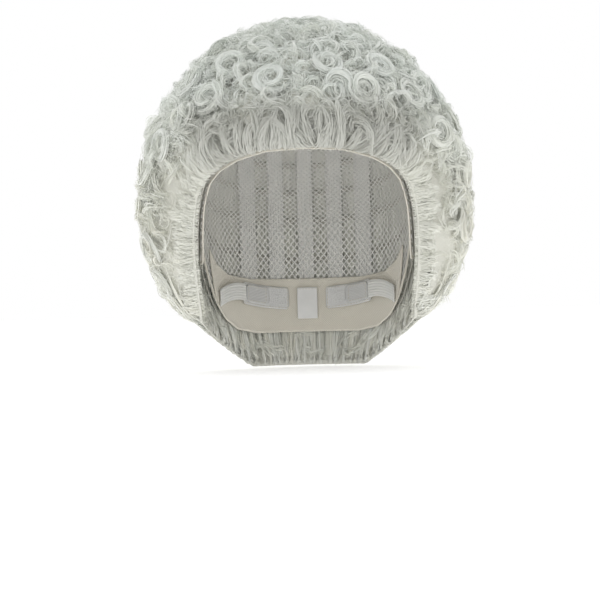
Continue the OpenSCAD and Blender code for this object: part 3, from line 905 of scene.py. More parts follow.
class WigColours(bpy.types.PropertyGroup):
    """Colours of the wig that a user would change."""

    # The crown's cool white and the sides' creamy white are painted light: cool where light falls from
    # above, creamy in the shade of the sides.
    hair_lit_crown: colour_property("Hair, crown", "Cool white of the crown", 0.90, 0.955, 0.92)
    hair_warm: colour_property("Hair, sides", "Creamy white of the sides", 0.96, 0.95, 0.85)
    hair_tip: colour_property("Hair, highlights", "White of the palest strands", 0.96, 0.97, 0.93)
    # Painted shade: the olive grey of strands deep between the curls, of the shadowed low front locks and
    # of the hair under the curls.
    hair_painted_shade: colour_property("Hair, roots", "Olive grey between the curls", 0.90, 0.905, 0.83)
    lining: colour_property("Lining", "Ivory of the forehead, ear and nape bands", 0.86, 0.82, 0.72)
    net: colour_property("Net", "Off white of the stretch net", 0.93, 0.92, 0.88)
    elastic: colour_property("Elastic", "White of the elastic ribbons and straps", 0.92, 0.92, 0.89)
    weft: colour_property("Wefts", "Cream of the sewn headings", 0.88, 0.86, 0.78)
    tape: colour_property("Tape", "White of the hook and loop tape", 0.93, 0.93, 0.92)
    satin: colour_property("Label", "White of the blank label", 0.95, 0.95, 0.94)


SHAPE = HairShape()
MATERIALS = {}


def material(name, build):
    """A material, made once."""
    if name not in MATERIALS:
        MATERIALS[name] = build(bpy.context.scene.wig_colours)
    return MATERIALS[name]


def row_of(e, w):
    """The name of the hair node that holds a place."""
    rows = np.array(["crown_hair"] + [f"weft_{row}_hair" for row in range(1, ROWS)], dtype=object)
    found = rows[np.clip((w * (ROWS + 1)).astype(int), 0, ROWS - 1)]
    edge = w >= LAST_ROW
    turned = np.degrees(e) % 360
    beside = edge & (folded(e) > TEMPLE) & (folded(e) <= HAIR_BACK)
    found[edge & (folded(e) <= TEMPLE)] = "front_hair_roll"
    found[beside & (turned < 180)] = "left_temple_hair"
    found[beside & (turned > 180)] = "right_temple_hair"
    found[edge & (folded(e) > HAIR_BACK)] = "nape_hair"
    return found


# ------------------------------------------------------------------------------------ the operators


def head_angle(length):
    """The angle on the head that a length takes up, in radians."""
    return length / ((HEAD_A + HEAD_B) / 2)


def polar_for(e, t, length):
    """The polar angle that a length takes up at a point on the head."""
    across = np.hypot(HEAD_A * np.sin(e), HEAD_B * np.cos(e)) * np.cos(t)
    down = np.where(t < math.pi / 2, HEAD_UP, HEAD_DOWN) * np.sin(t)
    return length / np.hypot(across, down)


def fabric_strip(name, e, far, near, layer, hem=0.35 * MM, across=17):
    """A strip on the head between two distances from the cap's edge, with a rounded, thicker hem.

    The edges are rounded: over the first millimetre the thickness follows a quarter round, and over
    the hem's next three it stands a little proud on the side of the head.
    """
    v = (1 - np.cos(np.linspace(0, math.pi, across))) / 2
    width = far - near
    edge = edge_polar(e, CAP_EDGE)
    t = edge[:, None] - polar_for(e, edge, 1.0)[:, None] * (near + width * v[None])
    side = np.minimum(v, 1 - v) * width
    full = np.sqrt(np.clip(1 - (1 - np.clip(side / (0.8 * MM), 0, 1)) ** 2, 0.02, 1))
    proud = hem * (1 - smooth(side, 2.4 * MM, 3.2 * MM)) * full
    d0, d1 = LAYERS[layer]
    middle = (d0 + d1) / 2
    outer = on_head(e[:, None], t, middle + (d1 - middle) * full)
    inner = on_head(e[:, None], t, middle + (d0 - middle) * full - np.minimum(proud, 0.25 * MM))
    return slab(name, outer, inner)


def edge_seam(name, e, inset, d):
    """Stitches along the cap's edge, a distance in from it, on the side of the head."""
    edge = edge_polar(e, CAP_EDGE)
    line = on_head(e, edge - polar_for(e, edge, inset), d)
    piece = seam(name, line, -head_normal(line))
    return place(piece, material("thread", thread_material))


# Width in mm of the bindings over the ears
BINDING = 6


class WIG_OT_bands(bpy.types.Operator):
    """Build the forehead band, ear tabs, ear bindings and nape band with their seams"""

    bl_idname = "wig.bands"
    bl_label = "Bands"

    def execute(self, context):
        for name, start, end, width in (
            ("forehead_band", -TEMPLE, TEMPLE, 17),
            ("left_ear_tab", TEMPLE + PART, TAB_BACK, 36),
            ("right_ear_tab", -TAB_BACK, -TEMPLE - PART, 36),
            ("left_ear_binding", TAB_BACK + PART, EAR_BACK, BINDING),
            ("right_ear_binding", -EAR_BACK, -TAB_BACK - PART, BINDING),
            ("nape_band", EAR_BACK + PART, 360 - EAR_BACK - PART, 40),
        ):
            e = np.radians(np.linspace(start, end, int((end - start) * 1.6) + 2))
            piece = fabric_strip(name + "_cloth", e, width * MM, 0.15 * MM, "band")
            place(piece, material("lining", lining_material), [name])
            insets = (BINDING / 2,)
            if width > BINDING:
                insets = (1.6, width - 1.8)
            for k, inset in enumerate(insets):
                edge_seam(f"{name}_seam_{k + 1}", e[1:-1], inset * MM, LAYERS["band"][0] - 0.1 * MM)
        return {"FINISHED"}


def whole_turn(count):
    """Azimuths all round, the last on the first."""
    return np.linspace(0, 2 * math.pi, count)


# Size of the crown net as a share of the way to the edge, and the stretch net's cells round the head
CROWN = 0.115
NET_LINES = 110


class WIG_OT_nets(bpy.types.Operator):
    """Build the stretch net and the denser crown net"""

    bl_idname = "wig.nets"
    bl_label = "Nets"

    def execute(self, context):
        e = whole_turn(201)[:, None]
        d0, d1 = LAYERS["net"]
        for name, low, high, steps, pitch, thread in (
            ("cap_net", CROWN + 0.015, 1.0, 65, 3.2 * MM, 0.08),
            ("crown_net", 0.0, CROWN, 17, 1.6 * MM, 0.14),
        ):
            w = np.linspace(low, high, steps)[None]
            t = row_angle(e, w, edge_polar) - head_angle(1.5 * MM) * smooth(w, 0.9, 1.0)
            reach = t * (HEAD_A + HEAD_B) / 2
            cloth = [reach * np.sin(e), reach * np.cos(e)]
            if name == "cap_net":
                cloth = [e / (2 * math.pi) * NET_LINES * pitch, reach]
            cloth = np.stack(np.broadcast_arrays(*cloth), axis=-1)
            piece = slab(name + "_mesh", on_head(e, t, d1), on_head(e, t, d0), cloth)
            place(piece, net_material(context.scene.wig_colours, pitch, thread), [name])
        return {"FINISHED"}


class WIG_OT_ribbons(bpy.types.Operator):
    """Build the five elastic ribbons that the wefts are sewn to"""

    bl_idname = "wig.ribbons"
    bl_label = "Ribbons"

    def execute(self, context):
        inset, half = 4 * MM, 6 * MM
        front, nape = CAP_EDGE[0, 1] * MM, -CAP_EDGE[-1, 1] * MM
        d0, d1 = LAYERS["ribbon"]
        for name, x in (
            ("centre_ribbon", 0), ("left_inner_ribbon", 22), ("right_inner_ribbon", -22),
            ("left_outer_ribbon", 43), ("right_outer_ribbon", -43),
        ):
            shrink = math.sqrt(1 - (x * MM / HEAD_A) ** 2)
            low = math.asin(front / (HEAD_UP * shrink)) + head_angle(inset)
            high = math.pi + math.asin((nape - inset) / (HEAD_DOWN * shrink)) - head_angle(inset) / 2
            u = np.linspace(low, high, 150)[:, None]
            across = x * MM + half * np.linspace(1, -1, 9)[None]
            edge = np.abs(np.linspace(-1, 1, 9))[None] ** 6 * 0.25 * MM
            sides = []
            for d in (d1 - edge, d0 + edge):
                r = np.sqrt(1 - (across / (HEAD_A + d)) ** 2)
                up = np.where(u <= math.pi, HEAD_UP, HEAD_DOWN) + d
                sides.append(np.stack(np.broadcast_arrays(
                    across, -(HEAD_B + d) * r * np.cos(u), up * r * np.sin(u)), axis=-1))
            piece = slab(name + "_elastic", *sides)
            place(piece, material("elastic", elastic_material), [name])
            float(lengths(sides[0], 0)[-1]) / 1.08
        return {"FINISHED"}


class WIG_OT_wefts(bpy.types.Operator):
    """Build the sewn headings of the wefts, and the first lengths of hair below each"""

    bl_idname = "wig.wefts"
    bl_label = "Wefts"

    def execute(self, context):
        heading, width = 0.012, 3.6 * MM
        d0, d1 = LAYERS["weft"]
        rng = np.random.default_rng(3)
        batch = Batch()
        v = np.linspace(0, 1, 7)
        edge = np.abs(2 * v - 1) ** 4 * 0.35 * MM

        def track(name, e, top):
            t = top[:, None] + polar_for(e, top, width)[:, None] * v[None]
            piece = slab(name + "_heading", on_head(e[:, None], t, d1 - edge),
                         on_head(e[:, None], t, d0 + edge))
            place(piece, material("weft", weft_material), [name])

        e = whole_turn(361)
        for row in range(1, ROWS):
            w = np.full(len(e), row / (ROWS + 1) + heading)
            track(f"weft_{row}_track", e, row_angle(e, w, edge_polar))
        for name, start, end, inset in (
            ("front_track", -TEMPLE, TEMPLE, 1),
            ("left_temple_track", TEMPLE + PART, HAIR_BACK, 1),
            ("right_temple_track", -HAIR_BACK, -TEMPLE - PART, 1),
            ("nape_track", HAIR_BACK + PART, 360 - HAIR_BACK - PART, 2),
        ):
            part = np.radians(np.linspace(start, end, int((end - start) * 1.5)))
            edge_at = edge_polar(part, CAP_EDGE)
            track(name, part, edge_at - polar_for(part, edge_at, inset * MM + width))
        for row in range(ROWS):
            top = row / (ROWS + 1) + (heading if row else 0)
            girth = min(1, 0.2 + row * 0.13)
            n = int(1150 * girth)
            at = rng.random(n) * 2 * math.pi
            u = np.linspace(0, 1, 6)[None]
            w = top + (0.125 + 0.03 * rng.random((n, 1))) * u
            turn = at[:, None] + u * spread(rng, -0.09, 0.09, n, 1) / girth
            t = row_angle(turn, np.minimum(w, 1.0), edge_polar)
            lift = (1.2 * rng.random((n, 1)) + 1.6 * u - 0.6) * MM
            paths = on_head(turn, t, HAIR_IN + lift)
            names = row_of(at, np.full(n, row / (ROWS + 1) + 0.01))
            batch.add(rng, names, 1, paths, -head_normal(paths), 1.1 * MM)
        batch.finish(rng)
        return {"FINISHED"}


# The round that the adjusters lie on, standing on an axis that leans with the nape
ROUND_LEAN = math.radians(14.659)
ROUND_AT = np.array([0, 31.5155, -40.5927]) * MM
TAB_OUT = 58.433 * MM
TAB_IN = 57.233 * MM
TAB_LENGTH, TAB_HEIGHT = 22 * MM, 14 * MM
TRAVEL = 14 * MM
PATCH_HEIGHT = 17 * MM
PATCH_THICK = 0.8 * MM
PATCH_OUT = TAB_OUT + 0.35 * MM + PATCH_THICK
STRAP_HEIGHT, STRAP_THICK = 13 * MM, 0.8 * MM
LABEL_WIDTH, LABEL_LENGTH, LABEL_TOP = 15 * MM, 24 * MM, 8.5 * MM
LABEL_OUT, LABEL_IN = 58.783 * MM, 58.283 * MM

# Angles in degrees from the middle of the nape at which the tabs and the patches start and end
TAB_END = 51.0
TAB_START = TAB_END - math.degrees(TAB_LENGTH / TAB_OUT)
PATCH_START = TAB_START - math.degrees(TRAVEL / TAB_OUT) - 2
PATCH_END = TAB_END + 2


def on_round(angle, r, height):
    """A point on the adjusters' round, at an angle in degrees from the nape's middle to the left."""
    a = np.radians(angle)
    y, z = r * np.cos(a), height
    return np.stack(np.broadcast_arrays(
        r * np.sin(a), y * math.cos(ROUND_LEAN) + z * math.sin(ROUND_LEAN),
        -y * math.sin(ROUND_LEAN) + z * math.cos(ROUND_LEAN)), axis=-1) + ROUND_AT


def round_plate(name, side, start, end, r_out, r_in, height, corner, loop=0.0):
    """A curved plate on the round with rounded corners and edges, on the left (1) or right (-1)."""
    angle = np.linspace(start, end, 49)
    x = np.minimum(angle - start, end - angle) * math.pi / 180 * r_out
    dip = corner - np.sqrt(np.clip(corner**2 - (corner - np.minimum(x, corner)) ** 2, 0, None))
    v = np.linspace(-1, 1, 21)
    h = v[None] * (height / 2 - dip)[:, None]
    side_gap = np.minimum(np.minimum(x[:, None], height / 2 - np.abs(h)), 0.5 * MM) / (0.5 * MM)
    full = np.sqrt(np.clip(1 - (1 - side_gap) ** 2, 0.04, 1))
    middle, half = (r_out + r_in) / 2, (r_out - r_in) / 2
    wave = loop * np.sin(angle * 9)[:, None] * np.sin(v * 19)[None]
    grids = []
    for sign in (1, -1):
        p = on_round(angle[:, None], middle + sign * half * full + wave * full, h)
        p[..., 0] *= side
        grids.append(p)
    return slab(name, *grids)


def plate_seam(name, side, start, end, r, height, inset):
    """Stitches round a plate, inset from its edges, on the side of the head."""
    step = math.degrees(inset / r)
    low, high, top = start + step, end - step, height / 2 - inset
    corners = np.array([(low, -top), (high, -top), (high, top), (low, top), (low, -top)])
    far = np.linspace(0, 4, 161)
    line = on_round(np.interp(far, range(5), corners[:, 0]), r, np.interp(far, range(5), corners[:, 1]))
    line[:, 0] *= side
    return seam(name, line, ROUND_AT - line, spacing=2.6 * MM, length=1.9 * MM, radius=0.22 * MM)


class WIG_OT_adjusters(bpy.types.Operator):
    """Build the loop patches, hook tabs, elastic straps and the blank label inside the nape"""

    bl_idname = "wig.adjusters"
    bl_label = "Adjusters"

    def execute(self, context):
        thread = material("thread", thread_material)
        for side, word in ((1, "left"), (-1, "right")):
            body = word + "_adjuster"
            patch = round_plate(word + "_patch_pile", side, PATCH_START, PATCH_END, PATCH_OUT,
                                PATCH_OUT - PATCH_THICK, PATCH_HEIGHT, 2.5 * MM, 0.05 * MM)
            place(patch, material("loop", loop_material), [word + "_loop_patch"])
            edge = plate_seam(word + "_patch_seam", side, PATCH_START, PATCH_END,
                              PATCH_OUT - 0.85 * MM, PATCH_HEIGHT, 1.1 * MM)
            place(edge, thread)
            tab = round_plate(word + "_tab_tape", side, TAB_START, TAB_END, TAB_OUT, TAB_IN,
                              TAB_HEIGHT, 4.5 * MM, 0.02 * MM)
            place(tab, material("hook", hook_material), [word + "_hook_tab"], body)
            rim = plate_seam(word + "_tab_seam", side, TAB_START + 1.5, TAB_END, TAB_IN - 0.05 * MM,
                             TAB_HEIGHT, 1.6 * MM)
            place(rim, thread, body=body)
            self.strap(side, word, body)
        self.label(thread)
        return {"FINISHED"}

    def label(self, thread):
        """The blank label: flat, a little rippled, and hemmed and sewn along its upper edge."""
        across = LABEL_WIDTH / 2
        x = np.linspace(across, -across, 25)[:, None]
        z = np.linspace(LABEL_TOP, LABEL_TOP - LABEL_LENGTH, 41)[None]
        sag = 0.35 * MM * np.sin(z * 260) * (1 - (x / across) ** 2)
        hem = 0.15 * MM * (1 - smooth(np.abs(z - LABEL_TOP), 1.5 * MM, 2 * MM))
        levels = (LABEL_OUT + sag * 0.4 + hem, LABEL_IN + sag * 0.4 - hem)
        grids = [on_round(0.0, level, z) for level in levels]
        for grid in grids:
            grid[..., 0] += x
        label = slab("blank_label", *grids)
        place(label, material("satin", satin_material), ["care_label"])
        line = on_round(0.0, LABEL_IN - 0.183 * MM, np.full(40, LABEL_TOP - 1.2 * MM))
        line[:, 0] += np.linspace(-across * 0.9, across * 0.9, 40)
        sewn = seam("label_seam", line, ROUND_AT - line, 2.4 * MM, 1.8 * MM, 0.2 * MM)
        place(sewn, thread)

    def strap(self, side, word, body):
        """The elastic strap from the corner of the nape to the end of the hook tab: a smooth bend that
        leaves the tab's end square and ends inside the corner."""
        start = on_round(TAB_END + math.degrees(0.4 * MM / TAB_OUT), (TAB_IN + TAB_OUT) / 2, 0.0)
        anchor = on_head(math.radians(117), head_polar(-54 * MM), -1.2 * MM)
        up = np.array([0, math.sin(ROUND_LEAN), math.cos(ROUND_LEAN)])
        out = unit(on_round(TAB_END, 1.0, 0.0) - ROUND_AT)
        way = np.cross(out, up)
        reach = np.linalg.norm(anchor - start) / 2
        u = np.linspace(0, 1, 37)[:, None]
        a = start + way * reach * u
        b = start + way * reach + (anchor - start - way * reach) * u
        line = a + (b - a) * u
        outs = unit(out + (unit(head_normal(anchor)) - out) * u)
        h = np.linspace(-STRAP_HEIGHT / 2, STRAP_HEIGHT / 2, 11)
        edge = 1 - 0.35 * (np.abs(h) / (STRAP_HEIGHT / 2)) ** 8
        middle = line[:, None] + h[None, :, None] * up
        wall = outs[:, None] * (STRAP_THICK / 2 * edge)[None, :, None]
        grids = [middle + wall, middle - wall]
        for grid in grids:
            grid[..., 0] *= side
        piece = slab(word + "_strap_elastic", *grids)
        place(piece, material("elastic", elastic_material), [word + "_adjuster_strap"], None)
        mirror = np.array([side, 1, 1])
        tuple(map(float, line[-2] * mirror))
        tuple(map(float, line[1] * mirror))
        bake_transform(piece)


class WIG_OT_under_hair(bpy.types.Operator):
    """Build the mass of hair that the curls lie on"""

    bl_idname = "wig.under_hair"
    bl_label = "Under hair"

    def execute(self, context):
        shape = SHAPE
        i, j = np.meshgrid(np.arange(0, shape.across - 1, 2.0), np.arange(0, shape.down, 2.0),
                           indexing="ij")
        p = shape.outside(i, j)
        lumps = sum(
            size * np.sin(p[..., 0] * scale) * np.sin(p[..., 1] * scale + 1) * np.sin(p[..., 2] * scale + 2)
            for scale, size in ((260, 0.5), (610, 0.3)))
        thin = smooth(shape.at(shape.gap, i, j), 0, 20 * MM)
        outer = shape.outside(i, j, np.clip(0.16 + 0.51 * thin + 0.09 * lumps * thin, 0, 1))
        rows, columns = i.shape
        inner = shape.at(shape.inside, i, j)
        below = smooth(shape.share(j), LAST_ROW - 0.01, LAST_ROW + 0.02)
        inner = inner + head_normal(inner) * ((0.8 + 1.6 * below) * MM)[..., None]
        outer = outer + head_normal(outer) * ((1.0 + 1.8 * below) * MM)[..., None]
        points = np.concatenate([outer.reshape(-1, 3), inner.reshape(-1, 3)])
        low, last = rows * columns, columns - 1
        skin = grid_faces(rows, columns, wrap=True)
        k = np.arange(rows)
        after = (k + 1) % rows
        rim = np.stack([low + k * columns + last, low + after * columns + last,
                        after * columns + last, k * columns + last], axis=-1)
        crown = np.stack([low + after * columns, low + k * columns, k * columns, after * columns], axis=-1)
        faces = np.concatenate([skin[:, ::-1], skin + low, rim, crown])
        piece = new_mesh("under_hair", points, faces)
        place(piece, material("under", under_hair_material), ["crown_hair"])
        return {"FINISHED"}


class WIG_OT_curls(bpy.types.Operator):
    """Build the ring curls, the small curls and the curls beneath, weft by weft"""

    bl_idname = "wig.curls"
    bl_label = "Curls"

    def execute(self, context):
        sizes = context.scene.wig_sizes
        rng = np.random.default_rng(11)
        shape = SHAPE
        batch = Batch()
        # Clear rings near the face, ring curls, small curls and the curls beneath. For each: count; the
        # ranges of depth in mm, lean, radius as a share, half width in mm and turns; strands and steps;
        # how loose it is and the spacing, both in mm; and in mm how near the face opening, how near the
        # lower edge and how far from the edge it may be
        kinds = (
            (36, (-0.5, 0.5), (0.0, 0.4), (0.95, 1.25), (2.3, 3.2), (1.4, 1.9), 46, 26, 0.6, 20,
             28, 20, 52),
            (sizes.ring_count, (0.7, 2.0), (0.1, 0.8), (0.75, 1.1), (2.0, 3.0), (1.2, 1.7), 32, 20,
             0.75, 15, 27, 12, 999),
            (sizes.curl_count, (0.2, 4.0), (0.2, 1.5), (0.4, 0.85), (1.6, 2.8), (0.7, 1.3), 15, 13,
             0.9, 5.2, 15, 3, 999),
            (sizes.under_count, (4.0, 8.0), (0.0, 1.2), (0.6, 1.0), (1.8, 2.8), (0.9, 1.4), 12, 10,
             1.0, 7.5, 10, 5, 999),
        )
        taken = np.empty((0, 3))
        for kind, row in enumerate(kinds):
            count, depth, lean, size, band, turns, strands, steps, loose, room, face, low, far = row
            is_ring = kind < 2
            # The clear rings keep to the front and the sides
            i, j = shape.scatter(
                rng, count, room * MM,
                lambda e, w, gap: (gap < far * MM) & ((folded(e) < 112) | (far > 100)) & (
                    gap > MM * np.interp(folded(e), (46, 62, 76, 80), (face, face * 0.6, face * 0.6, low))))
            point, normal, *_ = shape.surface(i, j)
            if is_ring:
                free = np.array([np.linalg.norm(taken - p, axis=1).min(initial=1.0) > 19 * MM
                                 for p in point])
                i, j, point, normal = i[free], j[free], point[free], normal[free]
                taken = np.vstack([taken, point])
            n = len(i)
            leaning = spread(rng, *lean, n)
            side = unit(np.cross(normal, unit(rng.normal(size=(n, 3)))))
            facing = unit(normal * np.cos(leaning)[:, None] + side * np.sin(leaning)[:, None])
            sunk = spread(rng, *depth, n) * MM + leaning * 2.0 * MM
            radius = sizes.ring_radius * spread(rng, *size, n)
            paths, outward = curl_strands(
                rng, point - normal * sunk[:, None], facing, radius, spread(rng, *band, n) * MM,
                spread(rng, *turns, n), np.minimum(13 * MM, shape.fullness(i, j) * 16 * MM),
                spread(rng, 0.15, 0.45, n), strands, steps, loose)
            names = row_of(shape.azimuth(i), shape.share(j))
            batch.add(rng, names, strands, paths, outward, sizes.strand_width)
            if is_ring:
                core = curl_strands(
                    rng, point - normal * (sunk + 1.5 * MM)[:, None], facing, radius * 0.62,
                    radius * 0.24, spread(rng, 1.2, 1.6, n), np.full(n, 2 * MM),
                    spread(rng, 0.6, 0.8, n), 16, 17)
                batch.add(rng, names, 16, *core, sizes.strand_width * 0.85)
        batch.finish(rng)
        return {"FINISHED"}


class WIG_OT_swept_locks(bpy.types.Operator):
    """Build the locks that sweep up and back from the edge round the face"""

    bl_idname = "wig.swept_locks"
    bl_label = "Swept locks"

    def execute(self, context):
        sizes = context.scene.wig_sizes
        rng = np.random.default_rng(5)
        shape = SHAPE
        batch = Batch()
        limit = np.radians(80)
        # spacing, depth in mm, half width in mm, length in mm, strands
        for room, depth, wide, reach, strands in (
            (4.6, (-2.5, -0.5), 3.7, (24, 46), 34),
            (3.9, (-0.5, 1.5), 3.8, (24, 46), 30),
            (3.9, (2.0, 4.5), 3.9, (24, 42), 22),
            (3.9, (5.0, 8.0), 4.0, (24, 40), 18),
        ):
            e = even_edge(-limit, limit, room * MM)[0]
            n = len(e)
            e = e + spread(rng, -0.006, 0.006, n)
            i = (e % (2 * math.pi)) / (2 * math.pi) * (shape.across - 1)
            j = np.full(n, shape.down - 1.1)
            points, step = 34, 1.3 * MM
            s = np.arange(points)[None] * step
            front = smooth(-folded(e), -66, -48)[:, None]
            drift = 0.28 * np.sin(8.5 * e + 1) + 0.2 * np.sin(21 * e + 2)
            sway = (drift[:, None] + spread(rng, -0.3, 0.3, n, 1)) * (0.3 + 0.7 * front)
            curve = spread(rng, -0.7, 0.7, n, 1)
            bend = spread(rng, -75, 75, n, 1)
            heading = sway + curve * s / (40 * MM) + bend * np.clip(s - 20 * MM, 0, 1)
            line, normal = shape.trace(i, j, heading, step)
            root = shape.at(shape.inside, i, j)
            second = (root[:, None] * 2 + line[:, :1]) / 3
            line = np.concatenate([root[:, None], second, line[:, :-2]], axis=1)
            reach_end = spread(rng, *reach, n, 1) * MM * (0.48 + 0.52 * front)
            cut = np.clip(reach_end / s.max(), 0.3, 1)
            place_at = np.linspace(0, 1, points)[None] * cut * (points - 1)
            k = np.clip(place_at.astype(int), 0, points - 2)
            share = (place_at - k)[..., None]
            rows = np.arange(n)[:, None]
            line = line[rows, k] * (1 - share) + line[rows, k + 1] * share
            normal = normal[rows, k]
            s = place_at * step
            u = np.linspace(0, 1, points)[None]
            inset = spread(rng, *depth, n, 1) * MM * np.minimum(1, s / (9 * MM))
            inset = inset + 2.5 * MM * np.clip(u - 0.7, 0, 1) / 0.3
            line = line - normal * inset[..., None]
            clump = 0.8 + 0.15 * (1 - front)
            half = wide * MM * (1 + (clump - 1) * np.clip(s / (15 * MM), 0, 1))
            half = half * (1 - 0.3 * np.clip(u - 0.55, 0, 1) / 0.45)
            thick = 0.6 * MM + 1.1 * MM * np.clip(s / (12 * MM), 0, 1)
            paths, outward = lock(rng, line, normal, half, thick, strands, 16, ragged=0.24,
                                  wander=0.6 * MM, arch=0.3)
            turned = np.degrees(e)
            names = np.where(np.abs(turned) <= TEMPLE, "front_hair_roll",
                             np.where(turned > 0, "left_temple_hair", "right_temple_hair"))
            batch.add(rng, names.astype(object), strands, paths, outward, sizes.strand_width)
        batch.finish(rng)
        return {"FINISHED"}


class WIG_OT_hanging_hair(bpy.types.Operator):
    """Build the short hair that hangs below the cap at the ears and the nape, and turns up outside"""

    bl_idname = "wig.hanging_hair"
    bl_label = "Hanging hair"

    def execute(self, context):
        sizes = context.scene.wig_sizes
        rng = np.random.default_rng(8)
        shape = SHAPE
        batch = Batch()
        for layer, inset in enumerate((-1.0, 0.8)):
            e = even_edge(math.radians(74), math.radians(286), 3.6 * MM)[0]
            n = len(e)
            i = (e + spread(rng, -0.02, 0.02, n)) / (2 * math.pi) * (shape.across - 1)
            last = shape.down - 1.0
            down = np.linspace(0, 1, 14)[None] ** 0.9
            start = last * (LAST_ROW - shape.top) / (1 - shape.top) - 1.5
            j_in = np.broadcast_to(start + (last - 0.4 - start) * down, (n, 14))
            drift = spread(rng, -7, 7, n, 1) * np.linspace(0, 1, 14) ** 1.5
            i_in = i[:, None] + drift * 0.5
            inner = shape.at(shape.inside, i_in, j_in)
            inner = inner + inset * MM * head_normal(inner)
            up = np.linspace(0.02, 1, 12)[None]
            j_out = last - 0.3 - up * spread(rng, 5, 12, n, 1)
            i_out = i_in[:, -1:] + drift[:, -1:] * up
            outer = shape.outside(i_out, j_out, 1 - (0.12 + 0.1 * layer) * up)
            line = np.concatenate([inner, outer], axis=1)
            line[:, 1:-1] = (line[:, :-2] + line[:, 1:-1] * 2 + line[:, 2:]) / 4
            normal = np.concatenate([-head_normal(inner), head_normal(outer)], axis=1)
            normal[:, 12:16] = np.array([0, 0, -1.0])
            line[:, 10:18, 2] -= 3.2 * MM * np.sin(np.linspace(0.2, 2.94, 8))
            half = np.full(line.shape[:2], 2.7 * MM)
            paths, outward = lock(rng, line, normal, half, half * 0.25, 20, 15, ragged=0.12, arch=0.2)
            batch.add(rng, row_of(e, np.ones(n)), 20, paths, outward, sizes.strand_width)
        batch.finish(rng)
        return {"FINISHED"}


class WIG_OT_frizz(bpy.types.Operator):
    """Build the single hairs that stand loose over the curls"""

    bl_idname = "wig.frizz"
    bl_label = "Frizz"

    def execute(self, context):
        sizes = context.scene.wig_sizes
        rng = np.random.default_rng(23)
        shape = SHAPE
        batch = Batch()
        n = sizes.frizz_count
        i, j = shape.scatter(
            rng, n, 0,
            lambda e, w, gap: gap > np.where(folded(e) < 76, 6, 2) * MM)
        n = len(i)
        point, normal, *_ = shape.surface(i, j)
        leaning = spread(rng, 0.2, 1.4, n)
        side = unit(np.cross(normal, unit(rng.normal(size=(n, 3)))))
        facing = unit(normal * np.cos(leaning)[:, None] + side * np.sin(leaning)[:, None])
        gap = shape.at(shape.gap, i, j)
        radius = spread(rng, 3.5, 8.5, n) * MM * np.clip(gap / (18 * MM), 0.45, 1)
        sunk = radius * np.sin(leaning) * 0.75 + spread(rng, -1.0, 3.0, n) * MM
        paths, outward = curl_strands(
            rng, point - normal * sunk[:, None], facing, radius, np.full(n, 0.2 * MM),
            spread(rng, 0.35, 0.9, n), spread(rng, 0, 4, n) * MM, spread(rng, -0.2, 0.4, n), 1, 7)
        names = row_of(shape.azimuth(i), shape.share(j))
        batch.add(rng, names, 1, paths, outward, 0.24 * MM)
        batch.finish(rng)
        return {"FINISHED"}


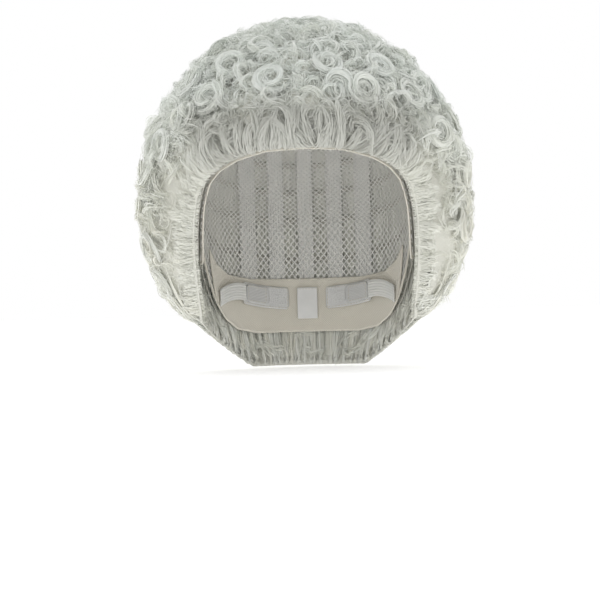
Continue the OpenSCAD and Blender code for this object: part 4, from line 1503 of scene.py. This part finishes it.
class WIG_OT_stage(bpy.types.Operator):
    """Build the floor, the lights, the backdrop and the camera"""

    bl_idname = "wig.stage"
    bl_label = "Studio"

    def execute(self, context):
        # The locks round the lower edge bulge below the CAD box, and stand on the floor
        floor_z = CAD_BOX[0][2] - 2.6 * MM
        half = 6.0
        points = np.array([(-half, -half, floor_z), (half, -half, floor_z), (half, half, floor_z),
                           (-half, half, floor_z)])
        floor = new_mesh("studio_floor", points, np.array([(0, 1, 2, 3)]), smooth_shade=False)
        s = new_material("studio_white")
        floor.data.materials.append(s.finish(
            Base_Color=s.mix(s.noise(3.0) * 0.1, (0.95, 0.95, 0.95, 1), (0.92, 0.92, 0.92, 1)),
            Roughness=0.9, Emission_Color=(1, 1, 1, 1), Emission_Strength=0.46))
        world = bpy.data.worlds.new("studio_world")
        s = Shader(world)
        strength = s.make("ShaderNodeMapRange", {}, {
            "Value": s.make("ShaderNodeLightPath"), "To Min": 0.70, "To Max": 1.0})
        back = s.make("ShaderNodeBackground", {}, {"Color": (1, 1, 1, 1), "Strength": strength})
        s.make("ShaderNodeOutputWorld", {}, {"Surface": back})
        context.scene.world = world
        for name, where, size, power in (
            ("key_light", (-0.5, -1.3, 1.1), 0.9, 5.6),
            ("fill_light", (0.9, -1.5, 0.1), 1.2, 5.0),
            ("top_light", (0.0, 0.3, 1.5), 0.9, 4.6),
        ):
            light = bpy.data.lights.new(name, "AREA")
            light.size = size
            light.energy = power
            thing = bpy.data.objects.new(name, light)
            thing.location = where
            aim = np.array([0, 0, 0.03]) - np.array(where)
            thing.rotation_euler = (
                math.acos(aim[2] / np.linalg.norm(aim)) + math.pi, 0,
                math.atan2(aim[1], aim[0]) + math.pi / 2 + math.pi)
            context.scene.collection.objects.link(thing)
        camera = bpy.data.cameras.new("camera")
        distance, view_width = 1.5, 0.426
        camera.lens = camera.sensor_width * distance / view_width
        camera.clip_end = 50
        eye = bpy.data.objects.new("camera", camera)
        eye.location = (-0.0055, -distance, -0.0565)
        eye.rotation_mode = "XYZ"
        eye.rotation_euler = (math.pi / 2, math.radians(1.5), 0)
        context.scene.collection.objects.link(eye)
        context.scene.camera = eye
        context.scene.view_settings.view_transform = "Standard"
        return {"FINISHED"}


class WIG_PT_panel(bpy.types.Panel):
    """The wig's sizes, colours and pieces"""

    bl_idname = "WIG_PT_panel"
    bl_label = "Costume wig"
    bl_space_type = "VIEW_3D"
    bl_region_type = "UI"
    bl_category = "Wig"

    def draw(self, context):
        for group in (context.scene.wig_sizes, context.scene.wig_colours):
            for key in group.__annotations__:
                self.layout.prop(group, key)
        for operator in OPERATORS:
            self.layout.operator(operator.bl_idname)


OPERATORS = (WIG_OT_stage, WIG_OT_bands, WIG_OT_nets, WIG_OT_ribbons, WIG_OT_wefts,
             WIG_OT_adjusters, WIG_OT_under_hair, WIG_OT_curls, WIG_OT_swept_locks, WIG_OT_hanging_hair,
             WIG_OT_frizz)
CLASSES = (WigSizes, WigColours) + OPERATORS + (WIG_PT_panel,)


def register():
    """Registers the classes and hangs the two property groups on the scene."""
    for item in CLASSES:
        bpy.utils.register_class(item)
    bpy.types.Scene.wig_sizes = bpy.props.PointerProperty(type=WigSizes)
    bpy.types.Scene.wig_colours = bpy.props.PointerProperty(type=WigColours)


def unregister():
    """Undoes register."""
    del bpy.types.Scene.wig_colours
    del bpy.types.Scene.wig_sizes
    for item in reversed(CLASSES):
        bpy.utils.unregister_class(item)


def main():
    """Builds every piece in order."""
    register()
    for operator in OPERATORS:
        group, name = operator.bl_idname.split(".")
        getattr(getattr(bpy.ops, group), name)()


if __name__ == "__main__":
    main()
